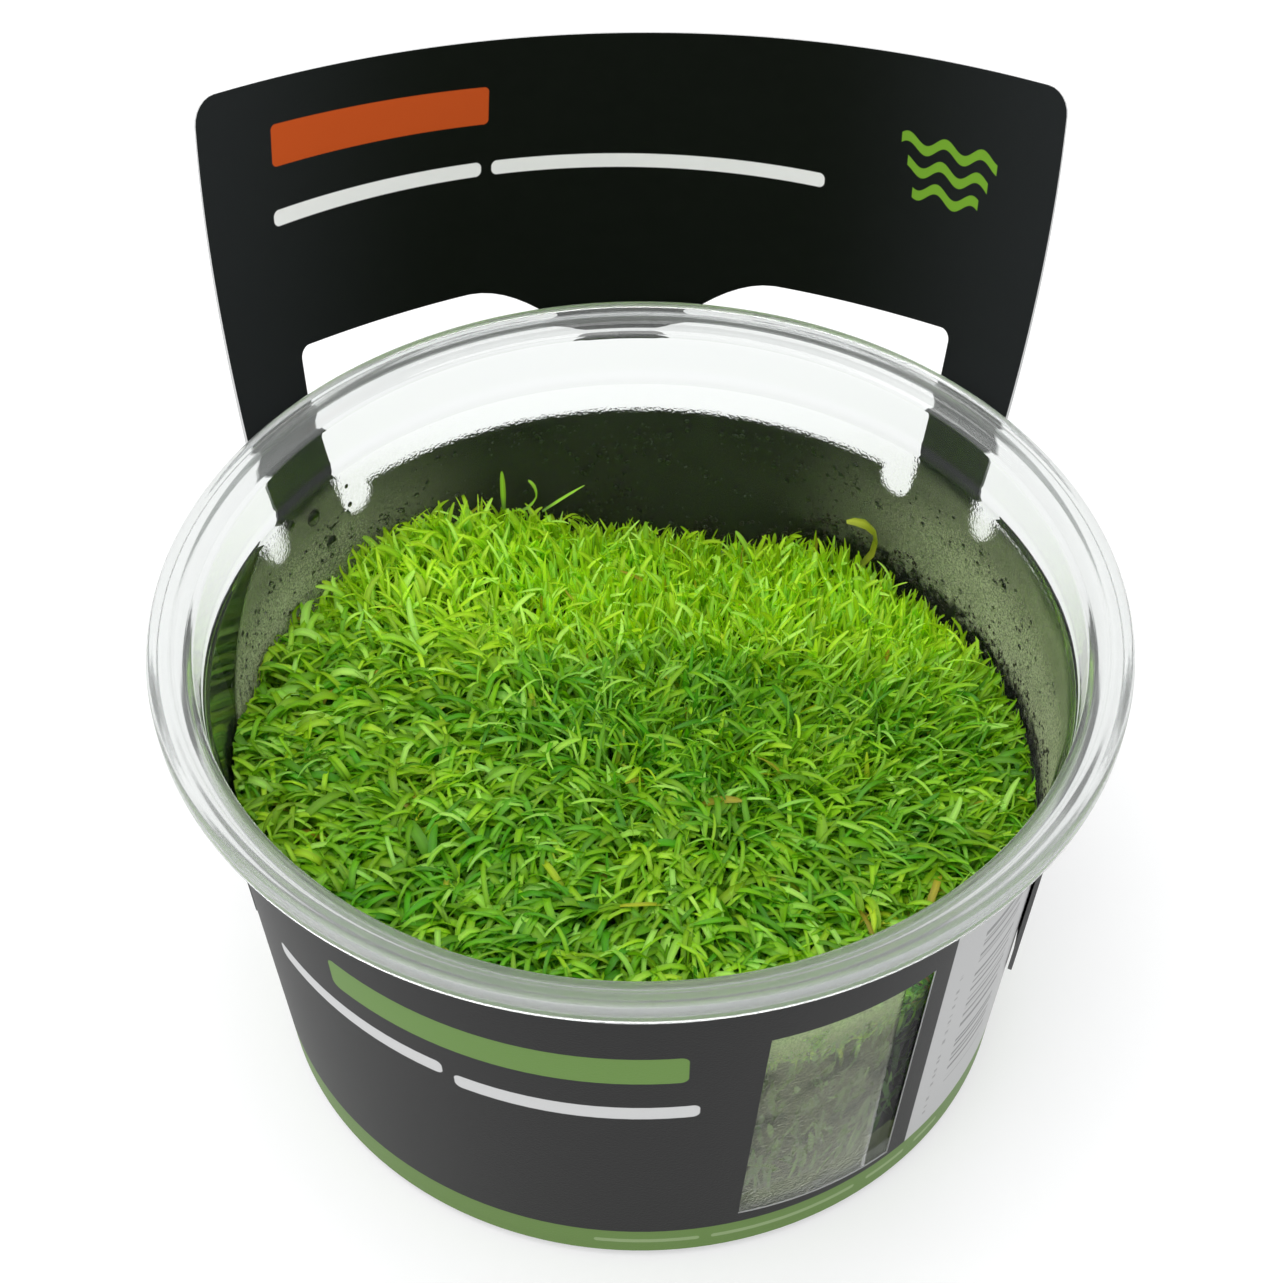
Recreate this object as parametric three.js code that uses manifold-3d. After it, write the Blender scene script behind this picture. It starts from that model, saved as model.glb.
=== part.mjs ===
// A round clear culture cup with a printed wrap, a die-cut header card held round its back, a layer of
// culture gel on its floor and a grown carpet of narrow leaves. Millimetres, +Z up, with the origin at the
// middle of the cup's base. The cup's front is at -Y. Bearings are degrees round the cup's axis, from the
// back (+Y) towards +X, so the front is at 180.
import * as THREE from "three";
import { mergeVertices } from "three/addons/utils/BufferGeometryUtils.js";
import Module from "manifold-3d";

// The cup
const CUP_HEIGHT = 53;
const RIM_RADIUS = 47.5;
const SKIRT_DROP = 2; // the rim's outer skirt, from the top of the bead down
const WALL = 0.6;
const FLOOR = 0.8;
const FOOT_RADIUS = 37.7; // outside, where the wall leaves the rounded foot
const FOOT_HEIGHT = 1;
const STEP_HEIGHT = 45.9; // the stacking step, which ends the tapered wall
const STEP_RADIUS = 42.65; // outside, just under the step
const CLEAR_WALL_TOP = 50.9; // the clear band of wall between the step and the flange
const FACETS = 64;

// The printed wrap, a film round the front of the wall
const WRAP_GAP = 0.1;
const WRAP_THICKNESS = 0.15;
const WRAP_FOOT = 1.2;
const WRAP_TOP = 44.8;
const WRAP_HALF_SPAN = 95; // degrees each side of the front
const WINDOW_BEARINGS = [140, 164.3];
const WINDOW_HEIGHTS = [6.1, 39.5];

// The header card
const CARD_THICKNESS = 0.4;
const BAND_GAP = 0.35; // between the wall and the band that lies on it
const BAND_FOOT = 16.4;
const BAND_TOP = 41.2; // between the legs
const SHOULDER_TOP = 43.2; // outside the legs
const BAND_ENDS = [-94.2, 110.2];
const END_FLARE = 0.2; // how far the free right end springs off the wall
const FLARE_START = 92;
const BAND_TURN = -2.6; // degrees that the band sits off the cup's back
const BAND_SPREAD = 0.04; // the legs splay this much between the rim and the band
const FOLD_HEIGHT = 40; // where the legs leave the wall
const RIM_FOOT = CUP_HEIGHT - SKIRT_DROP;
const CARD_AT_RIM = 48; // the card's radius where it passes the rim
const PANEL_TOP = 80.5;
const PANEL_TOP_RADIUS = 95; // the panel is flatter along its top edge than round the rim
const PANEL_TOP_REACH = 56.8; // how far its middle stands behind the cup's axis
const PANEL_TOP_TURN = -1;
const PANEL_HALF_ANGLE = 54.2;
const PANEL_TOP_HALF_WIDTH = 44.8;
const PANEL_BULGE = 0.074;
const PANEL_TAPER = 0.022;
const PANEL_CORNER = [1.8, 1.9]; // height in mm, width in degrees
const LEG_INNER = 43.4;
const WINDOW_CORNER = [1.2, 1.5];
const PANEL_FOOT = 54.9; // the panel's lower edge over the windows
const TONGUE_FOOT = 48.7;
const TONGUE_HALF_ANGLE = 5.5;
const TONGUE_ROOT_ANGLE = 20;
const INNER_SLOT = { middle: 40.85, half: 2.55, depth: 2, top: 40.5 };
const OUTER_SLOT = { middle: 56.3, half: 2.1, depth: 1.6, top: 41.8 };

// The gel and the plant
const GEL_TOP = 6.9;
const GEL_GAP = 0.3;
const MAT_FOOT = GEL_TOP + GEL_GAP;
const MAT_GAP = 0.5; // between the mat's side and the wall
const MAT_UNDER_TIPS = 3.6; // how far the solid mat lies below the leaf tips
const MAT_LUMP = 1.6; // how uneven the mat's top is
const MAT_EDGE_DROP = 1.6;
const TIP_HEIGHT = 37.1; // where the tips reach, in the middle of the cup
const TIP_FALL_RIGHT = 0.043; // mm lower for each mm to the right
const TIP_FALL_BACK = 0.1;
const TIP_DOME = 0.003;
const CLIMB_RADII = [22, 39.5]; // between these radii the carpet climbs the wall
const SIDE_CLIMB = 2.7; // how far its tips climb at the sides
const SIDE_SPAN = [14, 34]; // degrees from the back, over which the climb at the sides begins
const FRONT_SPAN = [95, 135]; // and over which it fades
const FRONT_FADE = 0.7;
const BACK_LEFT_CLIMB = 3.1; // how much further the tips climb at the back left
const BACK_LEFT_SPAN = [4, 22]; // degrees each side of there
const BACK_LEFT_BEARING = -37;
const BACK_DIP = 1;
const DIP_SPAN = [8, 24];
const BACK_BEARING = 4;
const MAT_FACETS = 28;
const TUFT_COUNT = 128;
const TUFT_WIDTH = 2.6;
const TUFT_LENGTH = 8.5;
const TUFT_ROOT_DEPTH = 2;
// The few leaves that stand over the rest along the back, as [x, y, z] of their tips
const TALL_TIPS = [
  [-14.6, 33.6, 40.4],
  [-11.4, 34.2, 38.6],
  [-5.6, 34, 38],
  [0.8, 35, 34.3],
  [12.6, 34, 33.2],
  [23.4, 30.8, 35.6],
];
const TALL_WIDTH = 1.8;
const TALL_LEAN = 0.16;

const wasm = await Module();
wasm.setup();

const radians = THREE.MathUtils.degToRad;
const clamp = THREE.MathUtils.clamp;
const smooth = THREE.MathUtils.smoothstep;

// The radius of the tapered wall's outside at a height.
function wallRadius(z) {
  const share = (z - FOOT_HEIGHT) / (STEP_HEIGHT - FOOT_HEIGHT);
  return FOOT_RADIUS + (STEP_RADIUS - FOOT_RADIUS) * share;
}

function onBearing(bearing, radius, z) {
  const angle = radians(bearing);
  return new THREE.Vector3(radius * Math.sin(angle), radius * Math.cos(angle), z);
}

// Repeatable numbers from 0 to 1.
function seededNumbers(seed) {
  let state = seed;
  return () => {
    state = (state * 1664525 + 1013904223) % 4294967296;
    return state / 4294967296;
  };
}

// A turned shape, its profile given as [radius, height] points.
function turned(profile, facets) {
  const points = profile.map(([radius, z]) => new THREE.Vector2(radius, z));
  return new THREE.LatheGeometry(points, facets).rotateX(Math.PI / 2);
}

// A thin sheet bent in space. place(u, v) is the point of its inner face at u across and v up.
// stripsAt(u) lists the material at u as [low, high] pairs of functions of u. The sheet is divided
// across at the columns and up at the rows.
function bentSheet({ columns, rows, stripsAt, place, thickness }) {
  const tidy = (v) => Math.round(v * 1e4) / 1e4;
  const strips = [];
  for (let k = 0; k + 1 < columns.length; k++) {
    const left = columns[k];
    const right = columns[k + 1];
    strips.push(
      stripsAt((left + right) / 2).map(([low, high]) => ({
        left: [tidy(low(left)), tidy(high(left))],
        right: [tidy(low(right)), tidy(high(right))],
      })),
    );
  }
  const within = (v, [low, high]) => v >= low && v <= high;
  const levels = columns.map((_, k) => {
    const spans = [
      ...(strips[k - 1] ?? []).map((strip) => strip.right),
      ...(strips[k] ?? []).map((strip) => strip.left),
    ];
    const bends = rows.filter((v) => spans.some((span) => within(v, span)));
    return [...new Set([...spans.flat(), ...bends])].sort((a, b) => a - b);
  });

  const position = [];
  const index = [];
  const corners = new Map();
  // The index of a corner of the sheet, on its inner or its outer face.
  function corner(k, v, outer) {
    const key = `${k} ${v} ${outer}`;
    if (!corners.has(key)) {
      const u = columns[k];
      const point = place(u, v);
      if (outer) {
        const step = 0.05;
        const across = place(u + step, v).sub(place(u - step, v));
        const up = place(u, v + step).sub(place(u, v - step));
        point.addScaledVector(up.cross(across).normalize(), thickness);
      }
      corners.set(key, position.length / 3);
      position.push(point.x, point.y, point.z);
    }
    return corners.get(key);
  }
  function wallBetween(kA, vA, kB, vB) {
    const [a, b] = [corner(kA, vA, false), corner(kB, vB, false)];
    const [c, d] = [corner(kB, vB, true), corner(kA, vA, true)];
    index.push(a, b, c, a, c, d);
  }

  strips.forEach((list, k) => {
    for (const { left, right } of list) {
      const lefts = levels[k].filter((v) => within(v, left));
      const rights = levels[k + 1].filter((v) => within(v, right));
      let i = 0;
      let j = 0;
      while (i + 1 < lefts.length || j + 1 < rights.length) {
        const climbLeft =
          j + 1 === rights.length || (i + 1 < lefts.length && lefts[i + 1] <= rights[j + 1]);
        const third = climbLeft ? [k, lefts[i + 1]] : [k + 1, rights[j + 1]];
        const face = [[k, lefts[i]], [k + 1, rights[j]], third];
        index.push(...face.map(([c, v]) => corner(c, v, false)));
        index.push(...face.reverse().map(([c, v]) => corner(c, v, true)));
        if (climbLeft) i += 1;
        else j += 1;
      }
      wallBetween(k + 1, right[0], k, left[0]);
      wallBetween(k, left[1], k + 1, right[1]);
    }
  });
  // The cut faces up and down the sheet, where material ends at a column.
  levels.forEach((list, k) => {
    const before = (strips[k - 1] ?? []).map((strip) => strip.right);
    const after = (strips[k] ?? []).map((strip) => strip.left);
    for (let i = 0; i + 1 < list.length; i++) {
      const [low, high] = [list[i], list[i + 1]];
      const middle = (low + high) / 2;
      const isBefore = before.some((span) => within(middle, span));
      const isAfter = after.some((span) => within(middle, span));
      if (isAfter && !isBefore) wallBetween(k, low, k, high);
      if (isBefore && !isAfter) wallBetween(k, high, k, low);
    }
  });

  const geometry = new THREE.BufferGeometry();
  geometry.setAttribute("position", new THREE.Float32BufferAttribute(position, 3));
  geometry.setIndex(index);
  return geometry;
}

// Values from start to end no more than step apart, with the named stops among them.
function divided(start, end, step, stops) {
  const fixed = [start, ...stops.filter((v) => v > start && v < end), end].sort((a, b) => a - b);
  return fixed.flatMap((from, i) => {
    if (i + 1 === fixed.length) return [from];
    const count = Math.ceil((fixed[i + 1] - from) / step - 1e-9);
    return Array.from({ length: count }, (_, n) => from + ((fixed[i + 1] - from) * n) / count);
  });
}

// The cup, turned in one piece: out along the base, up the outside, over the bead and down the inside.
function cupGeometry() {
  const stepOut = STEP_RADIUS + WALL;
  const flangeInner = stepOut - 0.15; // the inner edge of the ledge in the rim
  const innerStep = STEP_RADIUS - WALL;
  const beadInner = RIM_RADIUS - 2.1;
  return turned(
    [
      [0, 0],
      [FOOT_RADIUS - 1.2, 0],
      [FOOT_RADIUS - 0.35, 0.3],
      [FOOT_RADIUS, FOOT_HEIGHT],
      [STEP_RADIUS, STEP_HEIGHT],
      [stepOut, STEP_HEIGHT + 0.8],
      [stepOut + 0.45, CLEAR_WALL_TOP],
      [RIM_RADIUS - 0.9, CLEAR_WALL_TOP + 0.6],
      [RIM_RADIUS - 0.7, RIM_FOOT],
      [RIM_RADIUS, RIM_FOOT + 0.1],
      [RIM_RADIUS, CUP_HEIGHT - 0.6],
      [RIM_RADIUS - 0.3, CUP_HEIGHT - 0.15],
      [RIM_RADIUS - 0.8, CUP_HEIGHT],
      [RIM_RADIUS - 1.3, CUP_HEIGHT - 0.2],
      [beadInner, CUP_HEIGHT - 0.2],
      [beadInner - 0.5, CUP_HEIGHT - 1.1],
      [flangeInner + 0.4, CUP_HEIGHT - 1.2],
      [flangeInner, CUP_HEIGHT - 1.5],
      [stepOut - WALL, STEP_HEIGHT + 1],
      [innerStep, STEP_HEIGHT],
      [FOOT_RADIUS - WALL, FOOT_HEIGHT + 0.9],
      [FOOT_RADIUS - 1.3, FLOOR + 0.3],
      [FOOT_RADIUS - 2.1, FLOOR],
      [0, FLOOR],
    ],
    FACETS,
  );
}

// The film, with the clear window left open.
function wrapGeometry() {
  const front = 180;
  const [windowStart, windowEnd] = WINDOW_BEARINGS;
  const [windowFoot, windowTop] = WINDOW_HEIGHTS;
  const foot = () => WRAP_FOOT;
  const top = () => WRAP_TOP;
  const full = [[foot, top]];
  const besideWindow = [
    [foot, () => windowFoot],
    [() => windowTop, top],
  ];
  return bentSheet({
    columns: divided(front - WRAP_HALF_SPAN, front + WRAP_HALF_SPAN, 360 / FACETS, WINDOW_BEARINGS),
    rows: [],
    stripsAt: (bearing) =>
      bearing > windowStart && bearing < windowEnd ? besideWindow : full,
    place: (bearing, z) => onBearing(bearing, wallRadius(z) + WRAP_GAP, z),
    thickness: WRAP_THICKNESS,
  });
}

// A place on the card's inner face: angle is across the card from its middle, z is the height.
// Below the fold it lies on the wall, up to the rim the legs lean out, and above the rim the panel
// opens from the rim's circle to the flatter arc of its top edge.
function onCard(angle, z) {
  const below = clamp((RIM_FOOT - z) / (RIM_FOOT - FOLD_HEIGHT), 0, 1);
  if (z < RIM_FOOT) {
    const flare = END_FLARE * smooth(angle, FLARE_START, BAND_ENDS[1]) ** 2;
    const atFold = wallRadius(FOLD_HEIGHT) + BAND_GAP;
    const radius =
      z < FOLD_HEIGHT
        ? wallRadius(z) + BAND_GAP + flare
        : THREE.MathUtils.lerp(CARD_AT_RIM, atFold + flare, below);
    return onBearing(angle * (1 + BAND_SPREAD * below) + BAND_TURN, radius, z);
  }
  const share = (z - RIM_FOOT) / (PANEL_TOP - RIM_FOOT);
  const spread = angle * (1 + PANEL_BULGE * share * (1 - share) - PANEL_TAPER * share);
  const atRim = onBearing(spread + BAND_TURN, CARD_AT_RIM, RIM_FOOT);
  const halfArc = Math.asin(PANEL_TOP_HALF_WIDTH / PANEL_TOP_RADIUS);
  const turn = (spread / PANEL_HALF_ANGLE) * halfArc;
  const atTop = new THREE.Vector3(
    PANEL_TOP_RADIUS * Math.sin(turn),
    PANEL_TOP_REACH - PANEL_TOP_RADIUS * (1 - Math.cos(turn)),
    PANEL_TOP,
  ).applyAxisAngle(new THREE.Vector3(0, 0, 1), -radians(PANEL_TOP_TURN));
  return atRim.lerp(atTop, share);
}

// How far a round corner of that size has risen, from 0 at its end to 1, at a distance from its start.
function roundCorner(distance, size) {
  return Math.sqrt(Math.max(0, 1 - clamp(distance / size, 0, 1) ** 2));
}

// The lower edge of the panel between the legs: the windows' top edges and the tongue between them.
function panelFoot(angle) {
  const a = Math.abs(angle);
  if (a < TONGUE_ROOT_ANGLE) {
    const share = clamp((a - TONGUE_HALF_ANGLE) / (TONGUE_ROOT_ANGLE - TONGUE_HALF_ANGLE), 0, 1);
    return TONGUE_FOOT + (PANEL_FOOT - TONGUE_FOOT) * Math.sin((share * Math.PI) / 2);
  }
  const rise = 0.0022 * (a - TONGUE_ROOT_ANGLE) ** 2;
  const [height, width] = WINDOW_CORNER;
  const corner = height * (1 - roundCorner(a - (LEG_INNER - width), width));
  return PANEL_FOOT + rise - corner;
}

function panelTop(angle) {
  const [height, width] = PANEL_CORNER;
  const past = Math.abs(angle) - (PANEL_HALF_ANGLE - width);
  return PANEL_TOP - height * (1 - roundCorner(past, width));
}

function slotFoot(angle, slot) {
  return slot.top - slot.depth * roundCorner(Math.abs(Math.abs(angle) - slot.middle), slot.half);
}

function bandTop(angle) {
  const a = Math.abs(angle);
  if (Math.abs(a - INNER_SLOT.middle) < INNER_SLOT.half) return slotFoot(angle, INNER_SLOT);
  if (Math.abs(a - OUTER_SLOT.middle) < OUTER_SLOT.half) return slotFoot(angle, OUTER_SLOT);
  return a < LEG_INNER ? BAND_TOP : SHOULDER_TOP;
}

// The card, cut as band, legs and panel in one piece.
function cardGeometry() {
  const edges = [];
  for (const slot of [INNER_SLOT, OUTER_SLOT]) {
    for (const share of [-1, -0.86, -0.5, 0, 0.5, 0.86, 1]) edges.push(slot.middle + share * slot.half);
  }
  for (const share of [0, 0.55, 0.86, 1]) {
    edges.push(LEG_INNER - WINDOW_CORNER[1] * (1 - share));
    edges.push(PANEL_HALF_ANGLE - PANEL_CORNER[1] * (1 - share));
  }
  edges.push(TONGUE_HALF_ANGLE, 8, 11, 15, TONGUE_ROOT_ANGLE);
  const bothSides = [...edges.map((angle) => -angle), 0, ...edges];
  const foot = () => BAND_FOOT;
  return bentSheet({
    columns: divided(BAND_ENDS[0], BAND_ENDS[1], 5, bothSides),
    rows: [28, FOLD_HEIGHT, RIM_FOOT, 60, 70],
    stripsAt: (angle) => {
      const a = Math.abs(angle);
      const side = Math.sign(angle);
      if (a > PANEL_HALF_ANGLE) return [[foot, (u) => bandTop(keptIn(u, a, side))]];
      if (a > LEG_INNER) return [[foot, panelTop]];
      return [
        [foot, (u) => bandTop(keptIn(u, a, side))],
        [(u) => panelFoot(side * Math.min(Math.abs(u), LEG_INNER)), panelTop],
      ];
    },
    place: onCard,
    thickness: CARD_THICKNESS,
  });
}

// An edge at a column's side takes its height from just inside the column.
function keptIn(edge, middle, side) {
  const nudge = 1e-6;
  const a = Math.abs(edge);
  return side * (a < middle ? a + nudge : a - nudge);
}

// The gel is poured to the shape of the floor.
function gelGeometry() {
  const atTop = wallRadius(GEL_TOP) - WALL - GEL_GAP;
  const foot = FLOOR + GEL_GAP;
  return turned(
    [
      [0, foot],
      [FOOT_RADIUS - 2.3, foot],
      [FOOT_RADIUS - 1.5, foot + 0.4],
      [wallRadius(3) - WALL - GEL_GAP, 3],
      [atTop, GEL_TOP],
      [0, GEL_TOP],
    ],
    48,
  );
}

// How far the carpet climbs the wall on a bearing from the back: at both sides, most at the back left, and
// hardly at the front, while it dips a little straight at the back.
function wallClimb(bearing) {
  const fromBack = Math.abs(bearing - BACK_BEARING);
  const fromBackLeft = Math.abs(bearing - BACK_LEFT_BEARING);
  const fade = 1 - FRONT_FADE * smooth(fromBack, ...FRONT_SPAN);
  const side = SIDE_CLIMB * smooth(fromBack, ...SIDE_SPAN) * fade;
  const backLeft = BACK_LEFT_CLIMB * (1 - smooth(fromBackLeft, ...BACK_LEFT_SPAN));
  const dip = BACK_DIP * (1 - smooth(fromBack, ...DIP_SPAN));
  return side + backLeft - dip;
}

// The height that the leaf tips reach over a place on the floor. The carpet grew a little higher towards
// the front left, falls off to the back, and climbs the wall.
function tipHeight(x, y) {
  const radius = Math.hypot(x, y);
  const climb = wallClimb(THREE.MathUtils.radToDeg(Math.atan2(x, y)));
  const dome = TIP_HEIGHT - TIP_FALL_RIGHT * x - TIP_FALL_BACK * y - TIP_DOME * radius ** 2;
  return dome + climb * smooth(radius, ...CLIMB_RADII);
}

function solidOf(geometry) {
  const bare = geometry.clone();
  bare.deleteAttribute("normal");
  bare.deleteAttribute("uv");
  const merged = mergeVertices(bare, 1e-4);
  return new wasm.Manifold(
    new wasm.Mesh({
      numProp: 3,
      vertProperties: merged.attributes.position.array,
      triVerts: new Uint32Array(merged.index.array),
    }),
  );
}

function geometryOf(solid) {
  const mesh = solid.getMesh();
  const geometry = new THREE.BufferGeometry();
  geometry.setAttribute("position", new THREE.BufferAttribute(mesh.vertProperties, 3));
  geometry.setIndex(new THREE.BufferAttribute(mesh.triVerts, 1));
  return geometry;
}

// The dense body of the carpet: a lumpy dome under the leaf tips.
function matGeometry(random) {
  const sideTop = 22;
  const rings = [1, 0.9, 0.72, 0.5, 0.26];
  const rim = wallRadius(sideTop) - WALL - MAT_GAP;
  const foot = wallRadius(MAT_FOOT) - WALL - MAT_GAP;
  const shape = turned(
    [[0, MAT_FOOT], [foot, MAT_FOOT], ...rings.map((share) => [rim * share, sideTop]), [0, sideTop]],
    MAT_FACETS,
  );
  const solid = mergeVertices(
    shape.deleteAttribute("normal").deleteAttribute("uv"),
    1e-3,
  );
  const place = solid.attributes.position;
  for (let i = 0; i < place.count; i++) {
    if (place.getZ(i) < sideTop - 1) continue;
    const [x, y] = [place.getX(i), place.getY(i)];
    const edge = Math.hypot(x, y) > rim * 0.95 ? MAT_EDGE_DROP : 0;
    place.setZ(i, tipHeight(x, y) - MAT_UNDER_TIPS - edge + MAT_LUMP * (random() - 0.5));
  }
  return solid;
}

// One coarse tuft: a three-sided blade that rises from its root, arches over and ends in a point.
function tuftGeometry(root, lean, turn, length, width) {
  const stations = [0, 0.4, 0.75];
  const position = [];
  const across = new THREE.Vector3(Math.cos(turn), -Math.sin(turn), 0);
  const along = new THREE.Vector3(Math.sin(turn), Math.cos(turn), 0);
  const middleAt = (share) => {
    const angle = lean * share * 1.5;
    return root
      .clone()
      .addScaledVector(along, length * share * Math.sin(angle))
      .addScaledVector(new THREE.Vector3(0, 0, 1), length * share * Math.cos(angle * 0.8));
  };
  for (const share of stations) {
    const half = (width / 2) * (1 - 0.55 * share);
    const middle = middleAt(share);
    for (const [side, front] of [[-1, -0.35], [1, -0.35], [0, 0.5]]) {
      const point = middle
        .clone()
        .addScaledVector(across, side * half)
        .addScaledVector(along, front * half);
      position.push(...point.toArray());
    }
  }
  position.push(...middleAt(1).toArray());
  const index = [2, 1, 0];
  for (let level = 0; level + 1 < stations.length; level++) {
    for (let side = 0; side < 3; side++) {
      const a = level * 3 + side;
      const b = level * 3 + ((side + 1) % 3);
      index.push(a, b, a + 3, b, b + 3, a + 3);
    }
  }
  const [last, tip] = [(stations.length - 1) * 3, stations.length * 3];
  for (let side = 0; side < 3; side++) index.push(last + side, last + ((side + 1) % 3), tip);
  const geometry = new THREE.BufferGeometry();
  geometry.setAttribute("position", new THREE.Float32BufferAttribute(position, 3));
  return geometry.setIndex(index);
}

// The plant: the mat with coarse tufts grown out of it, spread evenly by the golden angle.
function carpetGeometry() {
  const random = seededNumbers(7);
  let carpet = solidOf(matGeometry(random));
  const goldenAngle = Math.PI * (3 - Math.sqrt(5));
  for (let i = 0; i < TUFT_COUNT; i++) {
    const share = Math.sqrt((i + 0.5) / TUFT_COUNT);
    const bearing = i * goldenAngle;
    const reach = wallRadius(28) - WALL - 3;
    const x = reach * share * Math.sin(bearing);
    const y = reach * share * Math.cos(bearing);
    const turn = share > 0.85 ? bearing + Math.PI * (0.6 + 0.8 * random()) : 2 * Math.PI * random();
    const rootHeight = tipHeight(x, y) - MAT_UNDER_TIPS - MAT_EDGE_DROP - TUFT_ROOT_DEPTH;
    const root = new THREE.Vector3(x, y, rootHeight);
    const length = TUFT_LENGTH * (0.85 + 0.25 * random());
    const lean = 0.35 + 0.35 * random();
    const width = TUFT_WIDTH * (0.85 + 0.3 * random());
    carpet = carpet.add(solidOf(tuftGeometry(root, lean, turn, length, width)));
  }
  for (const [x, y, z] of TALL_TIPS) {
    const length = z - tipHeight(x, y) + MAT_UNDER_TIPS + TUFT_ROOT_DEPTH;
    const backward = 0;
    const reach = length * Math.sin(TALL_LEAN * 1.5);
    const root = new THREE.Vector3(x, y - reach, z - length * Math.cos(TALL_LEAN * 1.2));
    carpet = carpet.add(solidOf(tuftGeometry(root, TALL_LEAN, backward, length, TALL_WIDTH)));
  }
  return geometryOf(carpet);
}

function piece(name, geometry, look) {
  const mesh = new THREE.Mesh(geometry, new THREE.MeshStandardMaterial(look));
  mesh.name = name;
  return mesh;
}

const part = new THREE.Group();
part.add(
  piece("cup", cupGeometry(), {
    color: 0xe6ebea,
    roughness: 0.08,
    metalness: 0,
    transparent: true,
    opacity: 0.3,
  }),
  piece("wrap_label", wrapGeometry(), { color: 0x3a3a3c, roughness: 0.45, metalness: 0 }),
  piece("header_card", cardGeometry(), { color: 0x17191b, roughness: 0.6, metalness: 0 }),
  piece("nutrient_gel", gelGeometry(), {
    color: 0xb9c29a,
    roughness: 0.15,
    metalness: 0,
    transparent: true,
    opacity: 0.6,
  }),
  piece("leaf_carpet", carpetGeometry(), { color: 0x5fa81f, roughness: 0.55, metalness: 0 }),
);

export default part;
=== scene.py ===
# %% [markdown]
# # A tissue culture cup with a carpet of Utricularia graminifolia
#
# The real object is a clear round cup with a printed film round its front, a die-cut black card held
# round its back, a layer of clear culture gel, and a plant that has grown into a dense mat of narrow
# leaves. The model's solids come from the frame, so everything made here only has to look right in the
# place that they hold.

# %% Load the fixed model
import math

import bpy
import numpy as np
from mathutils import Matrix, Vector
from mathutils.geometry import delaunay_2d_cdt


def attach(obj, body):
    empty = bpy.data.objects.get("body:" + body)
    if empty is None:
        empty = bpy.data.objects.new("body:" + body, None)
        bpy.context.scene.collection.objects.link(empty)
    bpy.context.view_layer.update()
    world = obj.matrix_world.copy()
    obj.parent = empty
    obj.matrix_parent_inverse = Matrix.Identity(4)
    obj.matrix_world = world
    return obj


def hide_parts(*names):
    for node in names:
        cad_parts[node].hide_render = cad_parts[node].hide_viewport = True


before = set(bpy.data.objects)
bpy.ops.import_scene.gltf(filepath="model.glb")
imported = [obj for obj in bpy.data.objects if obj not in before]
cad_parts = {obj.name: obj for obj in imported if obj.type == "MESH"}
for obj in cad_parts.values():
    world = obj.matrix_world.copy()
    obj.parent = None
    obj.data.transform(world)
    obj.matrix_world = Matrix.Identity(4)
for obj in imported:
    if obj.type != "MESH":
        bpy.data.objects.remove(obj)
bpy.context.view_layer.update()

# %% [markdown]
# ## Working in millimetres
#
# Blender's unit here is the metre, and a culture cup is easier to describe in millimetres. Every shape
# below is worked out in millimetres and multiplied by one factor when its mesh is made. Heights are
# above the cup's base, and a bearing is the angle round the cup's axis, from the back towards the
# right, so the front is at 180 degrees.

# %% A mesh from arrays
MM = 0.001


def mesh_object(name, corners, faces, materials, face_slots=None, smooth=True):
    """A new object from corner places in millimetres and an array of equal-sided faces."""
    corners = np.asarray(corners, np.float32) * MM
    faces = np.asarray(faces, np.int32)
    mesh = bpy.data.meshes.new(name)
    mesh.vertices.add(len(corners))
    mesh.vertices.foreach_set("co", corners.ravel())
    mesh.loops.add(faces.size)
    mesh.loops.foreach_set("vertex_index", faces.ravel())
    mesh.polygons.add(len(faces))
    mesh.polygons.foreach_set("loop_start", np.arange(0, faces.size, faces.shape[1], dtype=np.int32))
    mesh.update(calc_edges=True)
    mesh.polygons.foreach_set("use_smooth", np.full(len(faces), smooth))
    if face_slots is not None:
        mesh.polygons.foreach_set("material_index", np.asarray(face_slots, np.int32))
    for material in materials:
        mesh.materials.append(material)
    piece = bpy.data.objects.new(name, mesh)
    bpy.context.scene.collection.objects.link(piece)
    print(f"{name}: {len(corners)} corners, {len(faces)} faces")
    return piece


def on_bearing(bearing, radius, height):
    """Points at bearings in degrees, as an array with x, y and z in its last column."""
    angle = np.radians(bearing)
    radius, height = np.broadcast_to(radius, np.shape(angle)), np.broadcast_to(height, np.shape(angle))
    return np.stack([radius * np.sin(angle), radius * np.cos(angle), height], axis=-1)


# %% [markdown]
# ## The camera
#
# The photograph looks down at about 46 degrees through a long lens. Its place was worked out from the
# rim, which is a true circle 95 mm across, so the ellipse that it makes in the picture gives the tilt
# and the distance.

# %% The camera
CAMERA_PLACE = (0.0, -212.5, 270.0)
CAMERA_AIM = (0.145, -1.77, 51.27)
SENSOR_WIDTH = 36.0
FOCAL_PIXELS = 3151.3
PHOTO_WIDTH = 1284

camera_data = bpy.data.cameras.new("camera")
camera_data.sensor_width = SENSOR_WIDTH
camera_data.sensor_fit = "HORIZONTAL"
camera_data.lens = SENSOR_WIDTH * FOCAL_PIXELS / PHOTO_WIDTH
camera_data.clip_start = 0.01
camera = bpy.data.objects.new("camera", camera_data)
camera.location = Vector(CAMERA_PLACE) * MM
camera.rotation_euler = (Vector(CAMERA_AIM) - Vector(CAMERA_PLACE)).to_track_quat("-Z", "Y").to_euler()
bpy.context.scene.collection.objects.link(camera)
bpy.context.scene.camera = camera
print("lens", round(camera_data.lens, 2), "mm")

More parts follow.
